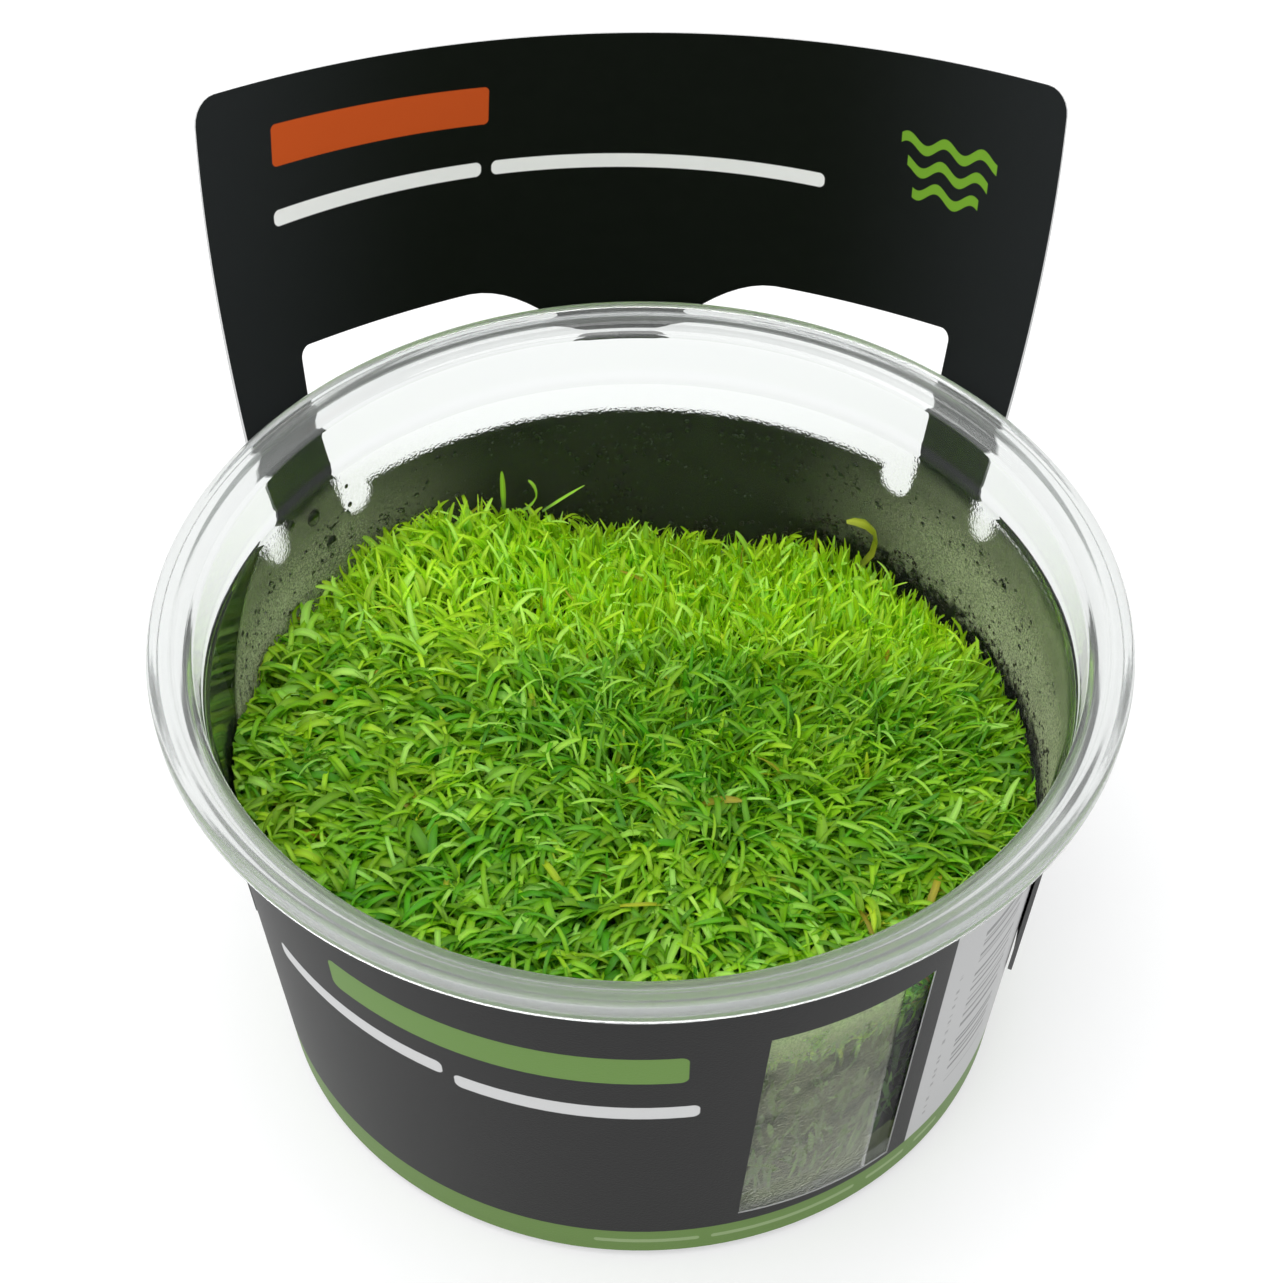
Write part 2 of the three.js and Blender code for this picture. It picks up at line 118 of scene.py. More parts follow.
# %% [markdown]
# ## Materials from nodes
#
# Each finish is a small network of shader nodes. These helpers add a node, set its sockets from numbers
# or from other sockets, and chain sums, so that a finish reads as a few lines of arithmetic.


# %% Node helpers
class Finish:
    """A material that is being built node by node."""

    def __init__(self, name):
        self.material = bpy.data.materials.new(name)
        self.material.use_nodes = True
        self.tree = self.material.node_tree
        self.tree.nodes.clear()
        self.output = self.tree.nodes.new("ShaderNodeOutputMaterial")

    def add(self, kind, inputs=None, **settings):
        node = self.tree.nodes.new("ShaderNode" + kind)
        for key, value in settings.items():
            setattr(node, key, value)
        for key, value in (inputs or {}).items():
            self.put(value, node.inputs[key])
        return node

    def put(self, value, socket):
        if isinstance(value, bpy.types.NodeSocket):
            self.tree.links.new(value, socket)
        else:
            socket.default_value = value

    def sum(self, operation, *values, clamp=False):
        node = self.add("Math", operation=operation, use_clamp=clamp)
        for socket, value in zip(node.inputs, values):
            self.put(value, socket)
        return node.outputs[0]

    def times(self, first, second):
        return self.sum("MULTIPLY", first, second)

    def scaled(self, value, factor, added):
        """The value times a factor, plus a number."""
        return self.sum("MULTIPLY_ADD", value, factor, added)

    def blend(self, share, first, second):
        node = self.add("Mix", data_type="RGBA")
        self.put(share, node.inputs["Factor"])
        self.put(first, node.inputs["A"])
        self.put(second, node.inputs["B"])
        return node.outputs["Result"]

    def ramp(self, value, stops):
        node = self.add("ValToRGB", {"Fac": value})
        node.color_ramp.elements[0].position, node.color_ramp.elements[0].color = stops[0]
        node.color_ramp.elements[1].position, node.color_ramp.elements[1].color = stops[-1]
        for position, colour in stops[1:-1]:
            node.color_ramp.elements.new(position).color = colour
        return node.outputs["Color"]

    def step(self, value, low, high):
        node = self.add("MapRange", interpolation_type="SMOOTHSTEP")
        for key, number in {"Value": value, "From Min": low, "From Max": high}.items():
            self.put(number, node.inputs[key])
        return node.outputs["Result"]

    def noise(self, scale, detail=2.0, place=None, rough=0.5):
        node = self.add("TexNoise", {"Scale": scale, "Detail": detail, "Roughness": rough})
        if place is not None:
            self.put(place, node.inputs["Vector"])
        return node.outputs["Fac"]

    def bump(self, height, distance, strength=1.0):
        node = self.add("Bump", {"Height": height, "Distance": distance, "Strength": strength})
        return node.outputs["Normal"]

    def skin(self, colour, roughness, normal=None, more=None):
        """Blender's usual surface shader. more gives its other sockets by name."""
        sockets = {"Base Color": colour, "Roughness": roughness, **(more or {})}
        if normal is not None:
            sockets["Normal"] = normal
        return self.add("BsdfPrincipled", sockets).outputs[0]

    def mixed(self, share, first, second):
        """Two shaders, with a share of the second."""
        return self.add("MixShader", {0: share, 1: first, 2: second}).outputs[0]

    def surface(self, shader):
        self.tree.links.new(shader, self.output.inputs["Surface"])
        return self.material


def grey(level):
    return (level, level, level, 1.0)


# %% [markdown]
# ## Floor and light
#
# Product pictures of this kind are taken on a white table under one wide soft light. A wide sun lamp
# stands for it: its light is even over the whole table, and its breadth keeps the shadows soft. The
# world is a middling grey near the horizon and straight above, so that the plastic has something darker
# than the table to bend and mirror, with a paler band between them. The table glows a little, which
# lifts the shadow beside the cup.

# %% The floor
FLOOR_RADIUS = 1500.0
TABLE_GLOW = {"Emission Color": grey(1.0), "Emission Strength": 0.52}
floor_finish = Finish("pale_floor")
floor_material = floor_finish.surface(floor_finish.skin(grey(0.46), 0.9, more=TABLE_GLOW))
floor_ring = on_bearing(np.arange(0, 360, 6.0), FLOOR_RADIUS, 0.0)[::-1]
floor = mesh_object("floor", floor_ring, [list(range(len(floor_ring)))], [floor_material], smooth=False)

# %% The world
WORLD_COLOUR = (0.97, 0.99, 1.0, 1.0)
WORLD_STRENGTH = 0.38
# How bright the world is by a direction's height: 0 is level with the table, 1 is straight above.
WORLD_BAND = [(0.0, 1.3), (0.22, 1.4), (0.40, 2.0), (0.74, 2.0), (0.92, 1.0)]
world = bpy.data.worlds.new("white_room")
world.use_nodes = True
world.node_tree.nodes["Background"].inputs["Color"].default_value = WORLD_COLOUR
direction = world.node_tree.nodes.new("ShaderNodeTexCoord")
height_of = world.node_tree.nodes.new("ShaderNodeSeparateXYZ")
band = world.node_tree.nodes.new("ShaderNodeFloatCurve")
world.node_tree.links.new(direction.outputs["Generated"], height_of.inputs[0])
world.node_tree.links.new(height_of.outputs["Z"], band.inputs["Value"])
band_curve = band.mapping.curves[0]
band.mapping.clip_max_y = 2.0
for point, (place, level) in zip(list(band_curve.points)[:2], (WORLD_BAND[0], WORLD_BAND[-1])):
    point.location = place, level * WORLD_STRENGTH
for place, level in WORLD_BAND[1:-1]:
    band_curve.points.new(place, level * WORLD_STRENGTH)
band.mapping.update()
world.node_tree.links.new(band.outputs[0], world.node_tree.nodes["Background"].inputs["Strength"])
bpy.context.scene.world = world
bpy.context.scene.view_settings.view_transform = "Standard"
print("world strength:", [round(level * WORLD_STRENGTH, 2) for _, level in WORLD_BAND])

# %% The lamp
SUN_STRENGTH = 2.7
SUN_PLACE = (-0.16, -0.04, 1.0)
SUN_BREADTH = 60.0
sun_data = bpy.data.lights.new("soft_sun", "SUN")
sun_data.energy = SUN_STRENGTH
sun_data.angle = math.radians(SUN_BREADTH)
sun = bpy.data.objects.new("soft_sun", sun_data)
sun.rotation_euler = (-Vector(SUN_PLACE)).to_track_quat("-Z", "Y").to_euler()
bpy.context.scene.collection.objects.link(sun)
print("sun strength", SUN_STRENGTH, "breadth", SUN_BREADTH, "degrees")

# %% [markdown]
# ## The cup
#
# Such cups are vacuum formed or injection moulded in one piece, so the honest way to make one is to
# turn its wall's outline round the axis. The outline below goes up the outside, over the bead and down
# the inside, and each corner of it is rounded, because moulded plastic has no sharp edge and the
# rounded ones are what catch the light.

# %% The cup's measures
CUP_HEIGHT = 53.0
RIM_RADIUS = 47.5
WALL = 0.6
AXIS_GAP = 0.02  # an outline stops this far from the axis, so that its faces don't shrink to nothing
FLOOR_THICKNESS = 0.8
FOOT_RADIUS, FOOT_HEIGHT = 37.7, 1.0
STEP_RADIUS, STEP_HEIGHT = 42.65, 45.9
CLEAR_WALL_TOP = 50.9
RIM_FOOT = CUP_HEIGHT - 2.0
TURNS = 240


def wall_radius(height):
    """The radius of the tapered wall's outside at a height."""
    share = (np.asarray(height, float) - FOOT_HEIGHT) / (STEP_HEIGHT - FOOT_HEIGHT)
    return FOOT_RADIUS + (STEP_RADIUS - FOOT_RADIUS) * share


print("cup:", CUP_HEIGHT, "mm tall and", 2 * RIM_RADIUS, "mm across its rim")

# %% [markdown]
# Two helpers make any turned piece. One rounds the corners of its outline with short curves, and the
# other copies the outline round the axis and joins the copies with four-sided faces. A Screw modifier
# could turn it too, but made this way the faces come in a known order, ring by ring, so each ring can
# wear a finish of its own.


# %% Round and turn an outline
def rounded(points, steps=4):
    """An outline whose corners are rounded. Each point is (radius, height, rounding)."""
    path = []
    for k, (x, y, rounding) in enumerate(points):
        corner = np.array([x, y])
        if rounding == 0 or k in (0, len(points) - 1):
            path.append(corner)
            continue
        before = np.array(points[k - 1][:2]) - corner
        after = np.array(points[k + 1][:2]) - corner
        reach = min(rounding, 0.45 * np.linalg.norm(before), 0.45 * np.linalg.norm(after))
        start = corner + before / np.linalg.norm(before) * reach
        end = corner + after / np.linalg.norm(after) * reach
        for share in np.linspace(0, 1, steps + 1):
            path.append((1 - share) ** 2 * start + 2 * share * (1 - share) * corner + share**2 * end)
    return np.array(path)


def turned(outline, turns=TURNS):
    """Corners and four-sided faces of an outline turned round the axis."""
    bearings = np.arange(turns) * 360.0 / turns
    corners = np.concatenate([on_bearing(bearings, r, z) for r, z in outline])
    rows = np.arange(len(outline) - 1)[:, None] * turns
    here = np.arange(turns)[None, :]
    following = (here + 1) % turns
    faces = np.stack([rows + here, rows + turns + here, rows + turns + following, rows + following], axis=-1)
    return corners, faces.reshape(-1, 4)


# %% [markdown]
# The cup is moulded from a soft, clear plastic. The finish of plain glass would be too clean for it, so
# this one lets most of the light through, blurs it a little more towards the front and the sides, where
# the real cup is scuffed, and mixes in a trace of milky white. The tapered wall mirrors less than the
# thick rim does.

# %% Clear plastic
# Where the cup starts to count as front, and where it fully does. ASIDE says the same for its sides.
TOWARD_FRONT = (15 * MM, -40 * MM)
ASIDE = (14 * MM, 42 * MM)
LEAST_BLUR = 0.05
MILK_COLOUR = (0.66, 0.68, 0.66, 1.0)
CLEAR = {"Transmission Weight": 1.0}


def clear_plastic(name, haze, clarity=(0.86, 0.86), ior=1.49, waviness=0.0, scuffing=0.0):
    """Clear and faintly milky. Fine scuffs blur it more towards the front.

    clarity is how much light it lets through at the front and back, and at the two sides. A lower first
    number draws the front and back darker, which is painted shade.
    """
    finish = Finish(name)
    place = finish.add("SeparateXYZ", {0: finish.add("TexCoord").outputs["Object"]})
    toward_front = finish.step(place.outputs["Y"], *TOWARD_FRONT)
    aside = finish.step(finish.sum("ABSOLUTE", place.outputs["X"]), *ASIDE)
    tints = [(level, level + 0.015, level + 0.008, 1.0) for level in clarity]
    blur = finish.sum(
        "MAXIMUM",
        finish.scaled(toward_front, scuffing, LEAST_BLUR),
        finish.scaled(aside, scuffing * 0.4, LEAST_BLUR),
    )
    wavy = finish.bump(finish.noise(35.0, 1.0), 0.0004, waviness)
    plastic = finish.skin(finish.blend(aside, *tints), blur, wavy, {"IOR": ior, **CLEAR})
    milk = finish.add("BsdfDiffuse", {"Color": MILK_COLOUR}).outputs[0]
    cover = finish.scaled(aside, 1.2 * scuffing * haze, 1.4 * haze)
    return finish.surface(finish.mixed(cover, plastic, milk))


FILM_SIDE_IOR = 1.05  # the wall behind the film mirrors little, because the film lies on it
WALL_IOR = 1.25  # and the thin wall mirrors less than a thick one would
# Painted shade: the rim's front and back let less light through than its sides.
rim_plastic = clear_plastic("cup_rim_plastic", 0.08, clarity=(0.74, 0.88), scuffing=0.20)
wall_plastic = clear_plastic("cup_wall_plastic", 0.02, ior=WALL_IOR, waviness=0.05)
front_plastic = clear_plastic("cup_front_plastic", 0.01, ior=FILM_SIDE_IOR)
print("clear finishes:", rim_plastic.name, wall_plastic.name, front_plastic.name)

# %% [markdown]
# Warm, wet air has misted the inside of the wall. Real mist is countless tiny drops, far too many to
# model, so the finish lays a pale film with a fine grain over the clear plastic. The film's green tint is
# painted light, the green that the plant bounces onto the mist. Heights and bearings say where it lies,
# because it has clear edges: it stops at the left, at the step and just over the plant at the right, and
# it starts again behind the film's window.

# %% Where the mist lies
FOG_LEFT_FOOT, FOG_LEFT_TOP = -88.0, -66.0  # bearings of its left edge, at the plant and at the step
FOG_LEFT_CURVE = 2.2  # that edge bends: this power of the way up
FOG_RIGHT = 100.0
FOG_WINDOW = 143.6  # the bearing where it starts again, behind the film's window
FOG_TOP = 44.6
PLANT_TOP = 30.0
EDGE_HEIGHT = 31.8  # where the plant meets the wall at the right; just over it the wall is bare and dark
# Pale mist with a painted green tint: the light that the plant bounces onto it.
MIST_WITH_BOUNCED_GREEN = (0.80, 0.88, 0.54, 1.0)
print("mist from", FOG_LEFT_FOOT, "to", FOG_RIGHT, "degrees, up to", FOG_TOP, "mm")

# %% [markdown]
# The mist isn't equally thick. It thins out near the step and has gaps where drops have joined and run
# down. It is also made densest at the sides, which is painted light: there the wall is seen at a slant,
# and mist seen so looks paler. Each of these is a share between 0 and 1, and multiplying the shares
# gives how much of the wall the mist covers.


# %% How thick the mist is
def window_cover(finish, height, place, runs):
    """How thick the mist is behind the window: thin where drops have joined, and thicker at the top."""
    blobs = finish.step(finish.noise(240.0, 1.0, place), 0.50, 0.66)
    low = finish.step(height, 36.0, 12.0)
    wet = finish.times(finish.step(runs, 0.5, 0.62), finish.scaled(low, 0.25, 0.05))
    kept = finish.sum("SUBTRACT", 1.0, finish.sum("MAXIMUM", finish.times(blobs, 0.55), wet))
    return finish.times(kept, finish.scaled(finish.step(height, 30.0, 38.0), 0.28, 0.21))


def back_cover(finish, height, bearing, patches, runs):
    """How thick it is elsewhere: most at the sides, which is painted light, thin near the step, and bare
    just over the plant.
    """
    # Painted light: more mist at the sides stands in for the paler look of mist where the wall is seen at a
    # slant.
    side = finish.step(finish.sum("ABSOLUTE", bearing), 20.0, 66.0)
    top = finish.step(finish.scaled(patches, 3.0, height), FOG_TOP + 2.6, FOG_TOP + 0.4)
    over_edge = finish.step(finish.scaled(runs, 7.0, height), EDGE_HEIGHT + 1.9, EDGE_HEIGHT + 4.4)
    at_left = finish.step(bearing, 30.0, 5.0)
    top = finish.times(top, finish.sum("MAXIMUM", over_edge, at_left))
    thinning = finish.scaled(finish.step(height, 36.5, 43.0), -0.50, 1.0)
    return finish.times(finish.times(top, thinning), finish.scaled(side, 0.53, 0.02))


def back_mist_area(finish, height, bearing):
    """One inside the mist's slanting left edge and its right edge, and nothing outside them."""
    climbed = finish.sum("SUBTRACT", height, PLANT_TOP)
    climb = finish.sum("DIVIDE", climbed, STEP_HEIGHT - PLANT_TOP, clamp=True)
    bend = finish.sum("POWER", climb, FOG_LEFT_CURVE)
    left_edge = finish.scaled(bend, FOG_LEFT_TOP - FOG_LEFT_FOOT, FOG_LEFT_FOOT)
    past_left = finish.step(finish.sum("SUBTRACT", bearing, left_edge), -1.0, 1.6)
    return finish.times(past_left, finish.step(bearing, FOG_RIGHT + 3, FOG_RIGHT))


# %% The misted finish
def fogged_plastic(name, at_window):
    """The inside of the tapered wall: clear at the left, and misted with fine drops elsewhere."""
    finish = Finish(name)
    place = finish.add("TexCoord").outputs["Object"]
    split = finish.add("SeparateXYZ", {0: place})
    height = finish.sum("DIVIDE", split.outputs["Z"], MM)
    bearing = finish.sum("DEGREES", finish.sum("ARCTAN2", split.outputs["X"], split.outputs["Y"]))
    patches = finish.noise(140.0, 3.0, place)
    speckle = finish.noise(4200.0, 2.0, place, 0.7)
    runs = finish.noise(900.0, 3.0, place, 0.6)
    grain = finish.scaled(finish.step(speckle, 0.32, 0.68), 0.62, 0.40)
    if at_window:
        mist = finish.step(bearing, FOG_WINDOW - 0.5, FOG_WINDOW + 0.6)
        cover = window_cover(finish, height, place, runs)
        grain = finish.scaled(grain, 0.5, 0.5)
        ior = FILM_SIDE_IOR
    else:
        mist = back_mist_area(finish, height, bearing)
        cover = back_cover(finish, height, bearing, patches, runs)
        grain = finish.times(grain, finish.scaled(patches, 0.7, 0.65))
        ior = WALL_IOR
    fog = finish.times(mist, finish.times(cover, grain))
    near_top = finish.times(mist, finish.step(height, 36.0, 43.0))
    blur = finish.scaled(near_top, 0.1, finish.scaled(mist, 0.12, 0.03))
    beads = finish.scaled(runs, 0.3, finish.noise(3300.0, 1.0, place))
    beaded = finish.bump(finish.times(beads, mist), 0.0006, 0.5)
    plastic = finish.skin((0.95, 0.97, 0.96, 1.0), blur, beaded, {"IOR": ior, **CLEAR})
    film = finish.add("BsdfDiffuse", {"Color": MIST_WITH_BOUNCED_GREEN}).outputs[0]
    return finish.surface(finish.mixed(fog, plastic, film))


back_mist = fogged_plastic("cup_back_mist", False)
window_mist = fogged_plastic("cup_window_mist", True)
print("misted finishes:", back_mist.name, window_mist.name)

# %% [markdown]
# Now the outline itself. Each corner is (radius, height, rounding), worked out from the named measures,
# so that a change of one measure moves every corner that belongs to it. The long inner wall is one band
# of faces in this outline, so it can wear the misted finishes while the other faces of the same mesh
# stay clear.

# %% Turn the cup
STEP_OUTSIDE = STEP_RADIUS + WALL
LEDGE_INSIDE = STEP_OUTSIDE - 0.15
BEAD_INSIDE = RIM_RADIUS - 2.1
outside = [
    (0, 0, 0),
    (FOOT_RADIUS - 1.2, 0, 0.6),
    (FOOT_RADIUS - 0.35, 0.3, 0.5),
    (FOOT_RADIUS, FOOT_HEIGHT, 0.6),
    (STEP_RADIUS, STEP_HEIGHT, 0.25),
    (STEP_OUTSIDE, STEP_HEIGHT + 0.8, 0.3),
    (STEP_OUTSIDE + 0.45, CLEAR_WALL_TOP, 0.5),
    (RIM_RADIUS - 0.9, CLEAR_WALL_TOP + 0.6, 0.2),
    (RIM_RADIUS - 0.7, RIM_FOOT, 0.1),
    (RIM_RADIUS - 0.1, RIM_FOOT + 0.02, 0.03),
    (RIM_RADIUS, CUP_HEIGHT - 0.6, 0.3),
]
inside = [
    (RIM_RADIUS - 0.3, CUP_HEIGHT - 0.15, 0.2),
    (RIM_RADIUS - 0.8, CUP_HEIGHT, 0.3),
    (RIM_RADIUS - 1.3, CUP_HEIGHT - 0.2, 0.2),
    (BEAD_INSIDE, CUP_HEIGHT - 0.2, 0.4),
    (BEAD_INSIDE - 0.5, CUP_HEIGHT - 1.1, 0.4),
    (LEDGE_INSIDE + 0.4, CUP_HEIGHT - 1.2, 0.3),
    (LEDGE_INSIDE, CUP_HEIGHT - 1.5, 0.3),
    (STEP_OUTSIDE - WALL, STEP_HEIGHT + 1.0, 0.3),
    (STEP_RADIUS - WALL, STEP_HEIGHT, 0.25),
    (FOOT_RADIUS - WALL, FOOT_HEIGHT + 0.9, 0.5),
    (FOOT_RADIUS - 1.3, FLOOR_THICKNESS + 0.3, 0.4),
    (FOOT_RADIUS - 2.1, FLOOR_THICKNESS, 0.4),
    (0, FLOOR_THICKNESS, 0),
]
cup_outline = rounded(outside + inside)
cup_outline[[0, -1], 0] = AXIS_GAP
cup_corners, cup_faces = turned(cup_outline)
print("cup outline:", len(cup_outline), "corners")

# %% Which finish each face wears
# The window's mist comes straight after the back's, so a face at the front adds one to its slot.
CUP_FINISHES = [wall_plastic, rim_plastic, back_mist, window_mist, front_plastic]
WALL_SLOT, RIM_SLOT, MIST_SLOT, _, FRONT_SLOT = range(len(CUP_FINISHES))
INNER_WALL_FOOT, OUTER_WALL_FOOT = 8.0, 3.0
FRONT_HALF_ANGLE = 70.0
ring = np.arange(len(cup_outline) - 1)
ring_height = (cup_outline[1:, 1] + cup_outline[:-1, 1]) / 2
peak = np.argmax(cup_outline[:, 1])
below_step = ring_height < STEP_HEIGHT - 0.4
is_inner_wall = (ring > peak) & (ring_height > INNER_WALL_FOOT) & below_step
is_outer_wall = (ring < peak) & (ring_height > OUTER_WALL_FOOT) & below_step
at_rim = ring_height > CLEAR_WALL_TOP
ring_slots = np.where(at_rim, RIM_SLOT, np.where(is_inner_wall, MIST_SLOT, WALL_SLOT))
at_front = np.abs((np.arange(TURNS) + 0.5) * 360.0 / TURNS - 180) < FRONT_HALF_ANGLE
face_slots = np.repeat(ring_slots, TURNS) + np.outer(is_inner_wall, at_front).ravel()
face_slots[np.outer(is_outer_wall, at_front).ravel()] = FRONT_SLOT

# %% Make the cup
cup = mesh_object("cup_moulding", cup_corners, cup_faces, CUP_FINISHES, face_slots)
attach(cup, "root")
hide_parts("cup")

# %% [markdown]
# ## Sheets cut to an outline
#
# The film and the card are both thin flat sheets that were cut to an outline and then bent. The same
# steps make them here: draw the outline flat, fill it with an even grid of points joined into
# triangles, bend every point to its place in space, and give the sheet its thickness. A sheet's flat
# place is kept as its UV map, so the print can be drawn on it in millimetres.


# %% Loops and distances
def outline_edges(count, start):
    return [(start + k, start + (k + 1) % count) for k in range(count)]


def inside_of(points, loop):
    """Which points lie inside a closed loop, by counting the edges that a ray to the right crosses."""
    x, y = points[:, 0:1], points[:, 1:2]
    a, b = loop, np.roll(loop, -1, axis=0)
    crosses = (a[:, 1] > y) != (b[:, 1] > y)
    rise = np.where(b[:, 1] == a[:, 1], 1e-9, b[:, 1] - a[:, 1])
    at = a[:, 0] + (y - a[:, 1]) / rise * (b[:, 0] - a[:, 0])
    return (crosses & (x < at)).sum(axis=1) % 2 == 1


def distance_to(points, loop):
    a, b = loop[None], np.roll(loop, -1, axis=0)[None]
    p = points[:, None]
    along = ((p - a) * (b - a)).sum(-1) / np.maximum(((b - a) ** 2).sum(-1), 1e-12)
    nearest = a + np.clip(along, 0, 1)[..., None] * (b - a)
    return np.linalg.norm(p - nearest, axis=-1).min(axis=1)


def divided(loop, longest):
    """A closed loop with its long edges divided."""
    points = []
    for a, b in zip(loop, np.roll(loop, -1, axis=0)):
        count = max(1, math.ceil(np.linalg.norm(b - a) / longest))
        points += [a + (b - a) * k / count for k in range(count)]
    return np.array(points)


# %% [markdown]
# Blender's Delaunay triangulation joins the points without a fold or a sliver, and keeps the cut edges
# as they are. A single large face would be simpler, but it couldn't bend, so a grid of points is laid
# inside the edges first.

# %% Fill an outline
KEEP_OFF = 0.45  # a grid point closer to a cut edge than this share of the spacing is left out


def filled(outer, hole, spacing):
    """Points and triangles of the flat area between two loops."""
    loops = [divided(np.array(loop, float), spacing) for loop in (outer, hole)]
    low, high = loops[0].min(axis=0), loops[0].max(axis=0)
    columns, rows = np.arange(low[0], high[0], spacing), np.arange(low[1], high[1], spacing)
    grid = np.stack(np.meshgrid(columns, rows), axis=-1).reshape(-1, 2)
    grid = grid[inside_of(grid, loops[0]) & ~inside_of(grid, loops[1])]
    grid = grid[np.minimum(distance_to(grid, loops[0]), distance_to(grid, loops[1])) > spacing * KEEP_OFF]
    flat = np.concatenate([*loops, grid])
    edges = outline_edges(len(loops[0]), 0) + outline_edges(len(loops[1]), len(loops[0]))
    points, _, faces, *_ = delaunay_2d_cdt([Vector(p) for p in flat], edges, [], 1, 1e-5)
    points = np.array([tuple(p) for p in points])
    faces = np.array([f for f in faces if len(f) == 3])
    middles = points[faces].mean(axis=1)
    return points, faces[inside_of(middles, loops[0]) & ~inside_of(middles, loops[1])]


# %% [markdown]
# The Solidify modifier gives the bent sheet its thickness, with a finish of its own on the printed
# face, on the back and along the cut edge. It is applied at once, so that the piece is a plain mesh.


# %% Bend a sheet and give it thickness
def cut_sheet(name, outer, hole, spacing, place, thickness, grows, materials):
    """A bent sheet. outer and hole are loops of (across, up), and place bends such points into space.

    The printed face is the one that sees (across, up) the right way round. The sheet's thickness grows to
    that side where grows is 1, and away from it where grows is -1.
    """
    points, faces = filled(outer, hole, spacing)
    sheet = mesh_object(name, place(points[:, 0], points[:, 1]), faces, materials)
    flat_map = sheet.data.uv_layers.new(name="flat")
    order = np.zeros(len(sheet.data.loops), np.int32)
    sheet.data.loops.foreach_get("vertex_index", order)
    flat_map.data.foreach_set("uv", points[order].astype(np.float32).ravel())
    bpy.context.view_layer.objects.active = sheet
    solid = sheet.modifiers.new("thickness", "SOLIDIFY")
    solid.thickness = thickness * MM
    solid.offset = grows
    solid.material_offset = 1
    solid.material_offset_rim = 2
    bpy.ops.object.modifier_apply(modifier=solid.name)
    sheet.data.set_sharp_from_angle(angle=math.radians(50))
    return sheet


# %% [markdown]
# ## Prints drawn with arithmetic
#
# A printed shape is a distance: how far a point of the sheet lies outside the shape's edge. Where that
# distance is below zero there is ink. The print is laid out in plain rounded bars, so it has the layout
# and the colours of such a label while the part itself says nothing.


# %% Printed shapes
INK_EDGE = 0.06


def flat_place(finish):
    split = finish.add("SeparateXYZ", {0: finish.add("UVMap", uv_map="flat").outputs[0]})
    return split.outputs["X"], split.outputs["Y"]


def ink(finish, distance):
    return finish.step(distance, INK_EDGE, -INK_EDGE)


def bar_distance(finish, across, up, middle, size, rounding):
    """The distance outside a rounded bar."""
    beyond = []
    for value, centre, whole in zip((across, up), middle, size):
        away = finish.sum("ABSOLUTE", finish.sum("SUBTRACT", value, centre))
        beyond.append(finish.sum("MAXIMUM", finish.sum("SUBTRACT", away, whole / 2 - rounding), 0.0))
    squares = finish.sum("ADD", *(finish.times(b, b) for b in beyond))
    return finish.sum("SUBTRACT", finish.sum("SQRT", squares), rounding)


def printed(finish, ground, across, up, bars):
    """The ground colour with rounded bars on it. Each bar is (middle, size, rounding, colour)."""
    colour = ground
    for middle, size, rounding, shade in bars:
        share = ink(finish, bar_distance(finish, across, up, middle, size, rounding))
        colour = finish.blend(share, colour, shade)
    return colour


# %% [markdown]
# ## The printed film
#
# The film lies round the front of the cup. It is dark grey with a green stripe along its foot, and has
# a window cut in its print. Right of the window a pale panel carries plain bars.

# %% The film's measures
FILM_GAP = 0.1
FILM_THICKNESS = 0.15
FILM_FOOT, FILM_TOP = 1.2, 44.8
FILM_HALF_SPAN = 95.0
FRONT = 180.0
FILM_RADIUS = 40.0  # flat millimetres across are taken at this radius
FILM_WINDOW = [(165.6, 6.9), (139.9, 5.9), (139.4, 38.7), (163.6, 39.3)]  # its corners' bearings and heights
STRIPE_TOP = 5.2
PANEL_EDGE = 136.0


def film_across(bearing):
    return (FRONT - np.asarray(bearing, float)) * math.radians(1) * FILM_RADIUS


def on_film(across, up):
    bearing = FRONT - np.degrees(across / FILM_RADIUS)
    return on_bearing(bearing, wall_radius(up) + FILM_GAP, up)


print("film:", round(2 * float(film_across(FRONT - FILM_HALF_SPAN)), 1), "mm round the cup")

# %% [markdown]
# The film's ink is nearly black, with a faint grain and a dull sheen. The bars, the pale panel with its
# thin lines and the green stripe are laid over it one after the other, as a printer lays one ink over
# another.

# %% The film's print
GREEN_INK, STRIPE_INK = (0.135, 0.255, 0.052, 1.0), (0.125, 0.225, 0.048, 1.0)
SMALL_INK = (0.26, 0.36, 0.16, 1.0)
PALE_INK = grey(0.62)
FILM_BARS = [  # middle, size, rounding, ink
    ((-13.2, 36.4), (34.9, 4.4), 0.8, GREEN_INK),
    ((-29.4, 30.0), (21.3, 2.1), 0.7, PALE_INK),
    ((-6.1, 28.8), (23.0, 2.1), 0.7, PALE_INK),
]
PANEL_LINES = [  # bearing, width, foot, top, strength
    (123.5, 7.5, 11.0, 38.0, 0.75),
    (132.6, 0.5, 8.0, 33.0, 0.5),
]
STRIPE_BARS = [(0.6, 11.0), (15.6, 16.5), (28.2, 5.5), (34.6, 4.0)]  # middle, width
STRIPE_BAR_HEIGHT, STRIPE_BAR_SIZE, STRIPE_BAR_ROUNDING = 3.3, 0.65, 0.3


